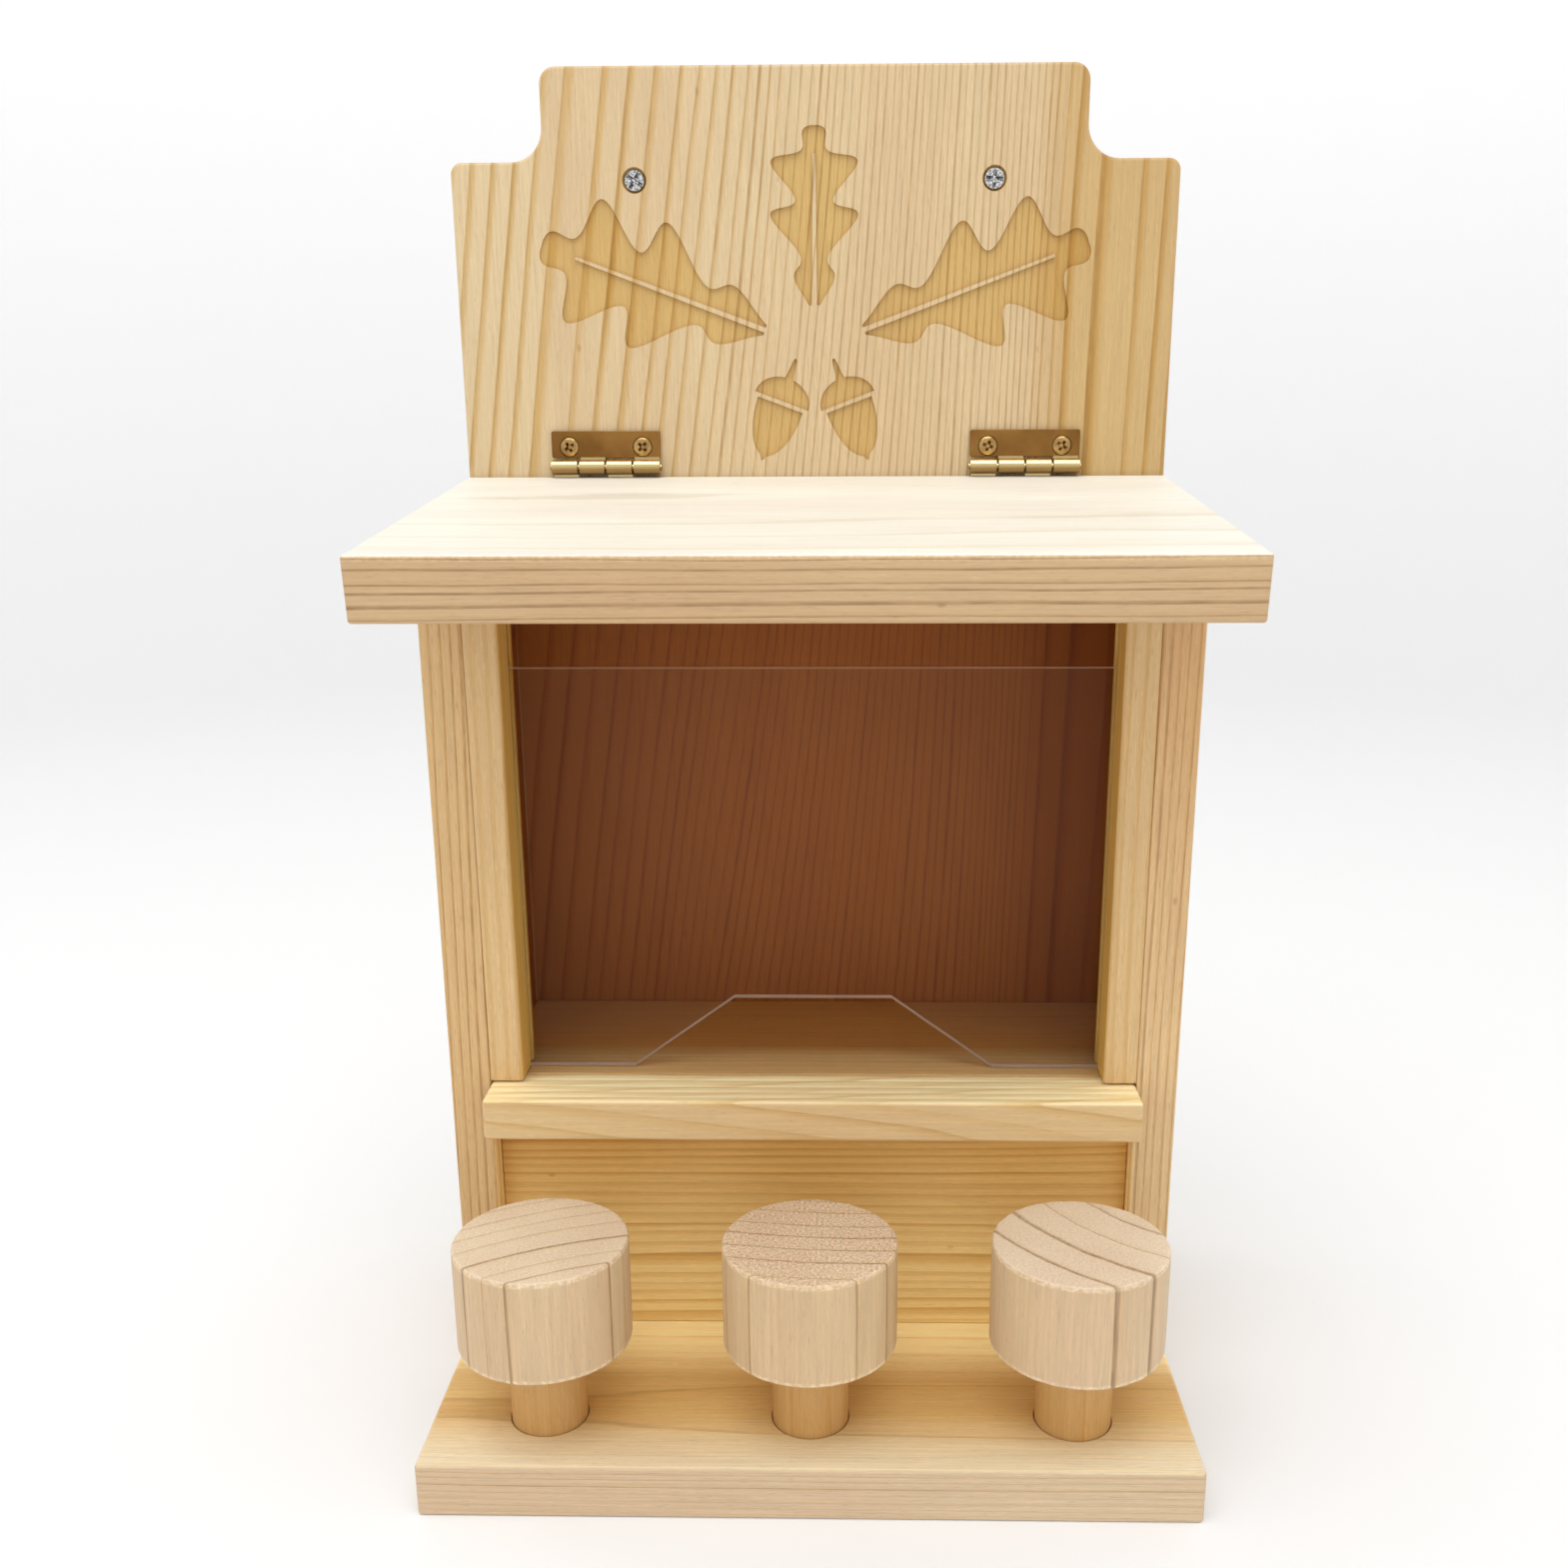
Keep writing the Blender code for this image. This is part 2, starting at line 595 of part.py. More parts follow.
def build_stool(name, x):
    """A round seat on a post that stands in a socket in the base board."""
    seat_place = (x, STOOL_Y, SEAT_UNDERSIDE)
    seat_profile = eased_bar(SEAT_DIAMETER / 2, 0, SEAT_THICKNESS)
    seat = turned("stool_seat_" + name, seat_profile, STOOL_FACETS, seat_place)
    hole = round_bar(POST_DIAMETER / 2 + POST_CLEARANCE, CUT_OVERRUN, SEAT_SOCKET)
    socket = turned("seat_socket_" + name, hole, STOOL_FACETS, seat_place, collection=CUTTERS)
    cut(seat, hide_cutter(socket))
    finish(seat, "pine_seat")
    foot = BASE_THICKNESS - BASE_SOCKET + POST_CLEARANCE
    length = SEAT_UNDERSIDE + SEAT_SOCKET - POST_CLEARANCE - foot
    post_profile = eased_bar(POST_DIAMETER / 2, 0, length)
    post = turned("stool_post_" + name, post_profile, STOOL_FACETS, (x, STOOL_Y, foot))
    finish(post, "pine_post")


def drive_mounting_screws(board):
    """The two screws through the back board that hold the feeder to the tree or wall."""
    for name, side in (("left", -1), ("right", 1)):
        place = (side * MOUNT_SCREW_SPACING / 2, FACE_Y + HEAD_SINK, BACK_HEIGHT - MOUNT_SCREW_DROP)
        screw("mounting_screw_" + name, MOUNT_SCREW, place, DRIVEN_BACK, "zinc", (board,))


def drive_board_screws(board, base, floor, walls):
    """The screws that hold the boards together, from behind and from below."""
    behind = BACK_Y - HEAD_SINK
    wall_height = lid_underside_height(BOX_REAR_Y) - WALL_FOOT
    for name, side in (("left", -1), ("right", 1)):
        wall = walls[name]
        for end, share in zip(("lower", "upper"), WALL_SCREW_HEIGHT_SHARES):
            place = (side * WALL_MIDDLE_X, behind, WALL_FOOT + share * wall_height)
            screw(f"back_screw_{name}_{end}", BOARD_SCREW, place, DRIVEN_FORWARD, "zinc", (board, wall))
        for end, share in zip(("front", "rear"), WALL_SCREW_DEPTH_SHARES):
            place = (side * WALL_MIDDLE_X, WALL_FRONT_Y + share * WALL_DEPTH, HEAD_SINK)
            screw(f"base_screw_{name}_{end}", BOARD_SCREW, place, DRIVEN_UP, "zinc", (base, wall))
        across = side * BUTT_SCREW_SPACING / 2
        low = (across, behind, BASE_THICKNESS / 2)
        screw(f"back_base_screw_{name}", BOARD_SCREW, low, DRIVEN_FORWARD, "zinc", (board, base))
        high = (across, behind, FLOOR_TOP - FLOOR_THICKNESS / 2)
        screw(f"back_floor_screw_{name}", BOARD_SCREW, high, DRIVEN_FORWARD, "zinc", (board, floor))


def build_feeder():
    """Every piece of the feeder, from the boards to the last screw."""
    fixed = bpy.data.objects.new("hinge_line", None)
    axis = bpy.data.objects.new("lid_hinge_axis", None)
    for empty in (fixed, axis):
        PARTS.objects.link(empty)
        empty.location = (0, HINGE_Y, HINGE_Z)
    board = build_back_board()
    base = build_base_board()
    walls = {
        "left": build_side_wall("side_wall_left", -1),
        "right": build_side_wall("side_wall_right", 1),
    }
    floor = build_hopper_floor()
    build_counter_bar()
    build_lower_front()
    build_guide_strip("guide_strip_left", -1)
    build_guide_strip("guide_strip_right", 1)
    build_clear_panel()
    lid = build_lid_board(axis)
    for name, x in hinge_places():
        build_hinge(name, x, board, lid, fixed, axis)
    for name, x in stool_places():
        build_stool(name, x)
    drive_mounting_screws(board)
    drive_board_screws(board, base, floor, walls)


build_feeder()
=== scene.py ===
"""Looks of a squirrel feeder: a bare pine nut box on a back board, with a hinged lid and three stools.

Every board is its own piece, with softened arrises and its own cut through the tree, so the rings
run on from face to face. Lengths are in metres unless a name says mm, and +Z is up.
"""

import logging
import math
from dataclasses import dataclass, field
from enum import Enum

import bmesh
import bpy
import numpy as np
from mathutils import Matrix, Vector


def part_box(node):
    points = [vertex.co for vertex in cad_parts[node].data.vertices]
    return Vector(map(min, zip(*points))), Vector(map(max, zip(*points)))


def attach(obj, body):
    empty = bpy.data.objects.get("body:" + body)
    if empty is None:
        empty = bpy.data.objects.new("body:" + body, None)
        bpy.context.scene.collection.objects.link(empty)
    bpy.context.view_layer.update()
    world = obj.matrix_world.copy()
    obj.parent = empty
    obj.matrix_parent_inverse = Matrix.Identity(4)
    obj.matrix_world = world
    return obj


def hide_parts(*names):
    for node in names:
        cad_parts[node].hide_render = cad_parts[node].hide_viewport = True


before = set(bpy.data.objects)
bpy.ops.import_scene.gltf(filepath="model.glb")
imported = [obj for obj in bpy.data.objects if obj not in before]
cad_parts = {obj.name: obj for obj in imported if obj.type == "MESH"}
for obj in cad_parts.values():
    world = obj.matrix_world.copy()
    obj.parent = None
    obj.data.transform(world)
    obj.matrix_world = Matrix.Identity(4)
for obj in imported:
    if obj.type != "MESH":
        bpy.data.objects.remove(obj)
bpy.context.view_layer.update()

LOG = logging.getLogger("squirrel_feeder")

Colour = tuple[float, float, float]
Place = tuple[float, float, float]
Pair = tuple[float, float]
Pairs = tuple[Pair, ...]
Socket = bpy.types.NodeSocket
Material = bpy.types.Material
Mesh = bpy.types.Mesh

FRAME_PIXELS = 1569
SENSOR_MM = 36.0
MM_PER_METRE = 1000.0
SCREEN_TOP = 255
SCREEN_POWER = 2.2
WELD = 0.000002
CUT_OVERRUN = 0.002
MANY_SIDED = 4
SMOOTH_ANGLE = math.radians(32)
LID_SLOPE = math.radians(6.3)
POST_GAP = 0.00015
DOWEL_POINTS = 96
SIDES = ("left", "right")
PLACES = ("left", "middle", "right")
WHITE = (1.0, 1.0, 1.0)

# The numbers of a Mix node's sockets for colours: share, first and second
MIX_INPUTS = (0, 6, 7)

# The turn of the first screw's recess, and how far each one is turned on from the last, in radians
FIRST_TURN = 0.55
TURN_STEP = 0.9

# How far a face must look one way for a tone to start and to be full, and the same for end grain
# Faces that look up take their painted top light over these same ends
FACING = (0.35, 0.9)
END_FACING = (0.6, 0.9)

# Curves by distance from the heart in mm. Years give the ring number. Wide runs from 0 where rings
# are narrow to 1 where they are wide. Lean is how many mm nearer the heart a ring lies for each mm
# along the grain, counted from the level.
BACK_HEART = (400.0, 60.0)
BACK_YEARS = (
    (316.0, -1.2), (324.5, 1.0), (329.2, 2.0), (338.3, 3.0), (344.2, 4.0), (349.4, 6.0), (354.0, 9.0),
    (361.3, 14.0), (370.6, 19.0), (388.4, 29.0), (408.3, 39.0), (424.4, 45.0), (440.0, 49.0), (456.9, 52.0),
    (465.3, 53.0), (488.7, 58.0),
)
BACK_WIDE = ((316.0, 1.0), (344.0, 1.0), (352.0, 0.0), (412.0, 0.0), (436.0, 0.7), (450.0, 1.0), (489.0, 1.0))
BACK_LEAN = ((316.0, 0.03), (360.0, 0.03), (425.0, 0.14), (489.0, 0.14))
BACK_LEVEL = 211.4
COUNTER_LEAN = ((0.0, 0.08), (200.0, 0.08))
LID_YEARS = (
    (214.0, -6.0), (232.5, -0.3), (234.9, 1.0), (237.4, 2.0), (238.7, 3.0), (241.0, 4.0), (243.0, 5.0),
    (249.0, 8.0),
)
SEAT_YEARS = ((30.8, -1.0), (88.2, 6.0))

# Strength by place: the amber of late wood across a ring, from its start and towards its end, and
# the thin dark line that ends the ring, across the line
AMBER_START = ((0.0, 0.5), (0.06, 0.0))
AMBER_END = ((0.90, 1.0), (0.97, 1.0), (1.0, 0.5))
LINE_STOPS = ((0.0, 0.0), (0.45, 0.8), (0.8, 1.0), (0.9, 1.0), (1.0, 0.3))


def screen_colour(red: int, green: int, blue: int) -> Colour:
    """Turn a colour as a screen shows it, 0 to 255, into the linear values that shaders use."""
    return tuple((channel / SCREEN_TOP) ** SCREEN_POWER for channel in (red, green, blue))


class Grain(Enum):
    """Which way the tree stood in a board: the order of axes that puts the grain last."""

    ACROSS = "YZX"
    UPRIGHT = "XYZ"


class Weave(Enum):
    """Noise in wood: waves for each mm across the grain and along it, layers, then its two ends."""

    SWAY = (0.022, 0.0045, 1.0, 0.0, 1.0)
    RIPPLE = (0.16, 0.02, 2.0, 0.0, 1.0)
    WANDER = (0.10, 0.012, 2.0, 0.3, 0.7)
    BREAKS = (1.1, 0.16, 2.0, 0.35, 0.6)
    PATCHES = (0.06, 0.012, 2.0, 0.35, 0.65)
    FLECKS = (5.0, 0.35, 1.0, 0.62, 0.72)
    PORES = (1.8, 1.8, 4.0, 0.3, 0.7)
    CHIPS = (0.9, 1.4, 3.0, 0.44, 0.56)

    @property
    def ends(self) -> Pair:
        """The values of the noise at which a mark starts to show and is full."""
        return self.value[3:]


class Plane(Enum):
    """The plane that a flat outline lies in: its two axes, then the axis of its thickness."""

    FRONT = (0, 2, 1)
    SIDE = (1, 2, 0)
    TOP = (0, 1, 2)


class Driven(Enum):
    """The way that a screw points: its axis, and 1 or -1 along it."""

    BACK = (1, 1)
    FORWARD = (1, -1)
    UP = (2, 1)


class Body(Enum):
    """The bodies that pieces ride on."""

    FEEDER = "feeder_body"
    LID = "lid"
    CLEAR_FRONT = "clear_front"


# Finishes


class Bench:
    """Adds nodes to one material and joins them."""

    def __init__(self, name: str) -> None:
        """Start a material with one Principled shader and the piece's own coordinates.

        Args:
            name: The material's name.
        """
        self.material = bpy.data.materials.new(name)
        self.material.use_nodes = True
        self.tree = self.material.node_tree
        self.shader = self.tree.nodes["Principled BSDF"]
        self.coordinates = self.tree.nodes.new("ShaderNodeTexCoord").outputs

    def fill(self, socket: Socket, value: object) -> None:
        """Lead a socket to an input, or set the input.

        Args:
            socket: The input.
            value: A socket, a number, a place, a colour, or None to leave the input alone.
        """
        if isinstance(value, Socket):
            self.tree.links.new(value, socket)
        elif value is not None:
            short = isinstance(value, tuple) and len(value) < len(socket.default_value)
            socket.default_value = (*value, 1.0) if short else value

    def set(self, **values: object) -> None:
        """Fill the shader's own inputs, named with _ for a space."""
        for name, value in values.items():
            self.fill(self.shader.inputs[name.replace("_", " ")], value)

    def add(self, kind: str, *inputs: object, out: object = 0, **settings: object) -> Socket:
        """Add a node and fill its inputs in order.

        Args:
            kind: The node's type, without the ShaderNode in front.
            inputs: What each input is filled with.
            out: Name or number of the output to give back.
            settings: Properties of the node.

        Returns:
            The node's output socket.
        """
        node = self.tree.nodes.new("ShaderNode" + kind)
        for name, value in settings.items():
            setattr(node, name, value)
        for socket, value in zip(node.inputs, inputs):
            self.fill(socket, value)
        return node.outputs[out]

    def maths(self, operation: str, *inputs: object) -> Socket:
        """One step of arithmetic on numbers."""
        return self.add("Math", *inputs, operation=operation)

    def vector(self, operation: str, *inputs: object) -> Socket:
        """One step of arithmetic on places."""
        return self.add("VectorMath", *inputs, operation=operation)

    def split(self, source: Socket) -> bpy.types.NodeOutputs:
        """Take a place or a direction apart into X, Y and Z."""
        return self.add("SeparateXYZ", source).node.outputs

    def place_mm(self) -> Socket:
        """The place on the piece in mm."""
        return self.scaled(self.coordinates["Object"], MM_PER_METRE)

    def spread(self, source: Socket, low: float, high: float, to: Pair) -> Socket:
        """Stretch the values from low to high over another range, and hold them there."""
        return self.add("MapRange", source, low, high, *to, clamp=True)

    def times(self, first: object, second: object) -> Socket:
        """Multiply two numbers."""
        return self.maths("MULTIPLY", first, second)

    def scaled(self, source: Socket, *factors: float) -> Socket:
        """Multiply a place by one number for each axis, or by one for all."""
        return self.vector("MULTIPLY", source, factors if len(factors) > 1 else factors * 3)

    def stretched(self, source: Socket, across: float, along: float) -> Socket:
        """Scale a place in mm, by one value across the grain and another along it."""
        return self.scaled(source, across, across, along)

    def noise(self, source: Socket, detail: float, out: object = 0) -> Socket:
        """Smooth noise at a place that is already scaled."""
        return self.add("TexNoise", source, None, 1.0, detail, out=out)

    def woven(self, place: Socket, weave: Weave, out: object = 0) -> Socket:
        """Noise that follows the grain, at a place in mm."""
        across, along, detail = weave.value[:3]
        return self.noise(self.stretched(place, across, along), detail, out)

    def mark(self, place: Socket, weave: Weave, to: Pair) -> Socket:
        """Noise that follows the grain, spread over a range between its own two ends."""
        return self.spread(self.woven(place, weave), *weave.ends, to)

    def mix(self, share: object, first: object, second: object, blend: str = "MIX") -> Socket:
        """Mix two colours by a share.

        Args:
            share: The second colour's share, a socket or a number.
            first: A socket or a colour.
            second: A socket or a colour.
            blend: Blender's name for the way of mixing.

        Returns:
            The mixed colour.
        """
        node = self.tree.nodes.new("ShaderNodeMix")
        node.data_type = "RGBA"
        node.blend_type = blend
        for index, value in zip(MIX_INPUTS, (share, first, second)):
            self.fill(node.inputs[index], value)
        return node.outputs[2]

    def tinted(self, share: Socket, colour: Socket, tint: Colour) -> Socket:
        """Multiply a colour by a tint, as far as a share says."""
        return self.mix(share, colour, self.mix(1.0, colour, tint, "MULTIPLY"))

    def ramp(self, source: Socket, stops: Pairs) -> Socket:
        """A smooth curve through stops of place and value.

        Args:
            source: The place, 0 to 1.
            stops: Pairs of place and value, in order.

        Returns:
            The value at the place.
        """
        node = self.tree.nodes.new("ShaderNodeValToRGB")
        node.color_ramp.interpolation = "EASE"
        while len(node.color_ramp.elements) < len(stops):
            node.color_ramp.elements.new(1.0)
        for element, (place, value) in zip(node.color_ramp.elements, stops):
            element.position = place
            element.color = (value, value, value, 1.0)
        self.fill(node.inputs[0], source)
        return node.outputs[0]

    def curve(self, source: Socket, points: Pairs) -> Socket:
        """Straight stretches through points of place and value, whatever their ranges.

        Args:
            source: The place.
            points: Pairs of place and value, in order of place.

        Returns:
            The value at the place.
        """
        first, last = points[0][0], points[-1][0]
        low = min(value for _, value in points)
        span = max(value for _, value in points) - low or 1.0
        node = self.tree.nodes.new("ShaderNodeFloatCurve")
        line = node.mapping.curves[0]
        while len(line.points) < len(points):
            line.points.new(0.5, 0.5)
        for point, (place, value) in zip(line.points, points):
            point.location = ((place - first) / (last - first), (value - low) / span)
            point.handle_type = "VECTOR"
        node.mapping.update()
        self.fill(node.inputs["Value"], self.spread(source, first, last, (0.0, 1.0)))
        return self.maths("MULTIPLY_ADD", node.outputs[0], span, low)

    def bump(self, height: Socket, depth: float) -> None:
        """Raise the surface.

        Args:
            height: The height at each place.
            depth: What a height of 1 is in metres.
        """
        node = self.tree.nodes.new("ShaderNodeBump")
        self.fill(node.inputs["Distance"], depth)
        self.fill(node.inputs["Height"], height)
        self.set(Normal=node.outputs["Normal"])


@dataclass(frozen=True)
class StainAndPaintedLight:
    """A box in mm where a tint is laid on the wood, for real stains and for painted light and painted shade.
    """

    low: Place
    high: Place
    tint: Colour
    soft: Place = (1.2, 1.2, 1.2)
    torn: float = 0.0

    def over(self, bench: Bench, place: Socket, colour: Socket) -> Socket:
        """Tint a colour within the box.

        The share of tint is the product of three windows, one for each axis, that fall to nothing
        over a soft margin. A torn box also comes and goes with fine noise.

        Args:
            bench: The material's nodes.
            place: The place in mm.
            colour: The bare wood.

        Returns:
            The tinted colour.
        """
        middle = tuple((low + high) / 2 for low, high in zip(self.low, self.high))
        away = bench.split(bench.vector("ABSOLUTE", bench.vector("SUBTRACT", place, middle)))
        share = None
        for axis, (low, high, soft) in enumerate(zip(self.low, self.high, self.soft)):
            half = (high - low) / 2
            window = bench.spread(away[axis], half - soft, half, (1.0, 0.0))
            share = window if share is None else bench.times(share, window)
        if self.torn:
            chips = bench.mark(place, Weave.CHIPS, (1.0 - self.torn, 1.0))
            share = bench.times(share, chips)
        return bench.tinted(share, colour, self.tint)


@dataclass(frozen=True)
class Pine:
    """Planed, unfinished pine, coloured by the rings that the board was sawn through.

    A place's ring number follows from its distance from the heart of the tree, with slow sways along
    the grain. Within a ring the wood darkens to its late line, and the next ring starts pale.
    """

    name: str
    grain: Grain
    heart_mm: Pair
    ring_mm: float
    early: Colour
    late: Colour
    line: Colour
    blush: Colour
    end: Colour = (0.90, 0.82, 0.76)
    # Painted top light: a tint that makes faces which look up paler, as if lit from above
    up: Colour | None = None
    years: Pairs = ()
    wide: Pairs = ()
    leans: Pairs = ()
    level: float = 0.0
    # Tint boxes: real stains, and painted light and painted shade
    stains_and_painted_light: tuple[StainAndPaintedLight, ...] = ()
    dash: float = 0.35
    specks: float = 0.5
    faintest: float = 0.4
    contrast: float = 0.75
    line_contrast: float = 0.6
    # How much grain stays on faces that look up, where painted top light washes it out
    grain_under_top_light: float = 1.0
    edge_contrast: float = 1.0
    rise: float = 0.45
    thin: float = 0.10
    thin_least: float = 0.6
    thin_more: float = 1.2
    wander: Pair = (0.65, 1.1)
    narrow_line: float = 2.4
    narrow_amber: float = 0.35
    sway_mm: float = 1.6
    ripple: float = 0.35
    uneven: float = 1.4
    uneven_waves: float = 0.31
    fibre: float = 0.10
    fibre_mm: float = 0.38
    fibre_waves: float = 0.05
    fibre_ends: Pair = (0.25, 0.75)
    ticks: float = 0.25
    speckle: float = 0.22
    glint: float = 0.6
    tick_glint: float = 0.4
    tick_glint_ends: Pair = (0.28, 0.38)
    knot_net: Pair = (0.055, 0.030)
    knot_ends: Pair = (0.012, 0.035)
    roughness: float = 0.55
    late_polish: float = 0.12
    gloss: float = 0.45
    relief: float = 0.00004
    end_relief: float = 0.00010
    fibre_rise: float = 0.8
    ring_rise: float = 0.7
    end_ring_rise: float = 0.5

    @staticmethod
    def sway(bench: Bench, place: Socket, weave: Weave, reach_mm: float) -> Socket:
        """A move that comes and goes with noise, by at most half of its reach each way."""
        noise = bench.vector("SUBTRACT", bench.woven(place, weave, "Color"), (0.5, 0.5, 0.5))
        return bench.vector("SCALE", noise, None, None, reach_mm)

    def ring_number(self, bench: Bench, place: Socket) -> tuple[Socket, Socket]:
        """Count the rings between the heart and a place.

        The place is first moved by slow sways and fine ripples. The distance from the heart then goes
        through the curve of the tree's good and lean years, or is divided by an even ring width.

        Args:
            bench: The material's nodes.
            place: The place in mm from the heart, grain last.

        Returns:
            The ring number, with its fraction, and the distance from the heart in mm.
        """
        flat = (1.0, 1.0, 0.0)
        moved = bench.scaled(place, *flat)
        for weave, reach in ((Weave.SWAY, self.sway_mm * 4), (Weave.RIPPLE, self.ring_mm * self.ripple)):
            moved = bench.vector("ADD", moved, self.sway(bench, place, weave, reach))
        moved = bench.scaled(moved, *flat)
        radius = bench.add("VectorMath", moved, operation="LENGTH", out="Value")
        if self.leans:
            height = bench.maths("SUBTRACT", bench.split(place)["Z"], self.level)
            radius = bench.maths("MULTIPLY_ADD", height, bench.curve(radius, self.leans), radius)
        if self.years:
            return bench.curve(radius, self.years), radius
        number = bench.maths("DIVIDE", radius, self.ring_mm)
        along = bench.add("CombineXYZ", bench.times(number, self.uneven_waves))
        return bench.maths("MULTIPLY_ADD", bench.noise(along, 1.0), self.uneven, number), radius

    def rings(self, bench: Bench, place: Socket) -> list[Socket]:
        """Work out how dark the late wood is.

        Each ring draws one number that sets both how thick its line is and how strong. The line lies
        in the last part of the ring, and noise along the grain breaks it up.

        Args:
            bench: The material's nodes.
            place: The place in mm from the heart, grain last.

        Returns:
            The amber of the late wood and the thin dark line that ends it, each 0 to 1.
        """
        number, radius = self.ring_number(bench, place)
        share = bench.maths("FRACT", number)
        amber = bench.ramp(share, (*AMBER_START, (1.0 - self.rise, 0.0), *AMBER_END))
        chance = bench.add("TexWhiteNoise", None, bench.maths("FLOOR", number), noise_dimensions="1D")
        squared = bench.times(chance, chance)
        width = bench.maths("MULTIPLY_ADD", squared, self.thin * self.thin_more, self.thin * self.thin_least)
        strength = bench.spread(chance, 0.0, 1.0, (self.faintest, 1.0))
        wander = bench.mark(place, Weave.WANDER, self.wander)
        strength = bench.times(strength, wander)
        if self.wide:
            wide = bench.curve(radius, self.wide)
            width = bench.times(width, bench.spread(wide, 0.0, 1.0, (self.narrow_line, 1.0)))
            amber = bench.times(amber, bench.spread(wide, 0.0, 1.0, (self.narrow_amber, 1.0)))
        line = bench.maths("DIVIDE", bench.maths("SUBTRACT", share, 1.0), width)
        line = bench.ramp(bench.maths("ADD", line, 1.0), LINE_STOPS)
        broken = bench.mark(place, Weave.BREAKS, (self.dash, 1.0))
        line = bench.times(line, bench.times(strength, broken))
        amber = bench.times(amber, strength)
        most = ((amber, self.contrast), (line, self.line_contrast))
        return [bench.times(mark, contrast) for mark, contrast in most]

    def knots(self, bench: Bench, place: Socket) -> Socket:
        """Small specks, one in each cell of a loose net: 1 at its middle and soon 0."""
        away = bench.add("TexVoronoi", bench.stretched(place, *self.knot_net), None, 1.0, out="Distance")
        return bench.spread(away, *self.knot_ends, (1.0, 0.0))

    @staticmethod
    def eased(bench: Bench, facing: Socket, least: float, marks: list[Socket]) -> list[Socket]:
        """Weaken marks where the surface looks one way.

        Args:
            bench: The material's nodes.
            facing: How far the surface looks that way, 0 to 1.
            least: The share of the marks that stays there; 1 leaves them as they are.
            marks: The marks.

        Returns:
            The marks.
        """
        if least >= 1.0:
            return marks
        level = bench.spread(facing, *FACING, (1.0, least))
        return [bench.times(mark, level) for mark in marks]

    def material(self) -> Material:
        """Make the material's nodes.

        Returns:
            The material.
        """
        bench = Bench(self.name)
        first, _, grain = self.grain.value
        axes = bench.split(bench.coordinates["Object"])
        ordered = bench.add("CombineXYZ", *(axes[axis] for axis in self.grain.value))
        place = bench.vector("SUBTRACT", bench.scaled(ordered, MM_PER_METRE), (*self.heart_mm, 0.0))
        amber, line = self.rings(bench, place)
        dark = bench.maths("MAXIMUM", amber, line)
        facing = bench.split(bench.coordinates["Normal"])
        end = bench.spread(bench.maths("ABSOLUTE", facing[grain]), *END_FACING, (0.0, 1.0))

        patches = bench.mark(place, Weave.PATCHES, (0.0, 1.0))
        fibre = bench.noise(bench.stretched(place, 1 / self.fibre_mm, self.fibre_waves), 3.0)
        fibre = bench.spread(fibre, *self.fibre_ends, (1.0 - self.fibre, 1.0 + self.fibre * self.glint))
        flecks = bench.woven(place, Weave.FLECKS)
        ticks = bench.spread(flecks, *Weave.FLECKS.ends, (0.0, self.ticks))
        glints = bench.spread(flecks, *self.tick_glint_ends, (1.0 + self.ticks * self.tick_glint, 1.0))
        fibre = bench.times(fibre, glints)
        pores = bench.woven(place, Weave.PORES)
        speckle_ends = (1.0 - self.speckle, 1.0 + self.speckle * self.glint)
        speckle = bench.spread(pores, *Weave.PORES.ends, speckle_ends)

        # Painted top light washes out the grain on faces that look up
        amber, line, ticks = self.eased(bench, facing["Z"], self.grain_under_top_light, [amber, line, ticks])
        if self.edge_contrast < 1.0:
            edge = bench.maths("ABSOLUTE", facing[first])
            amber, line = self.eased(bench, edge, self.edge_contrast, [amber, line])
        colour = bench.mix(amber, bench.mix(patches, self.early, self.blush), self.late)
        for mark in (line, ticks, bench.times(self.knots(bench, place), self.specks)):
            colour = bench.mix(mark, colour, self.line)
        colour = bench.tinted(end, colour, self.end)
        # Painted top light: faces that look up are tinted paler
        if self.up:
            colour = bench.tinted(bench.spread(facing["Z"], *FACING, (0.0, 1.0)), colour, self.up)
        spot = bench.place_mm()
        # Real stains, and painted light and shade, laid on as tints
        for tint_box in self.stains_and_painted_light:
            colour = tint_box.over(bench, spot, colour)
        shade = bench.mix(end, *(bench.add("CombineXYZ", tone, tone, tone) for tone in (fibre, speckle)))
        polish = bench.spread(dark, 0.0, 1.0, (self.roughness, self.roughness - self.late_polish))
        colour = bench.mix(1.0, colour, shade, "MULTIPLY")
        bench.set(Base_Color=colour, Roughness=polish, Specular_IOR_Level=self.gloss)

        side = bench.maths("MULTIPLY_ADD", fibre, self.fibre_rise, bench.times(dark, self.ring_rise))
        side = bench.times(bench.times(side, self.relief), bench.maths("SUBTRACT", 1.0, end))
        top = bench.times(bench.maths("MULTIPLY_ADD", dark, self.end_ring_rise, pores), self.end_relief)
        bench.bump(bench.maths("MULTIPLY_ADD", top, end, side), 1.0)
        return bench.material


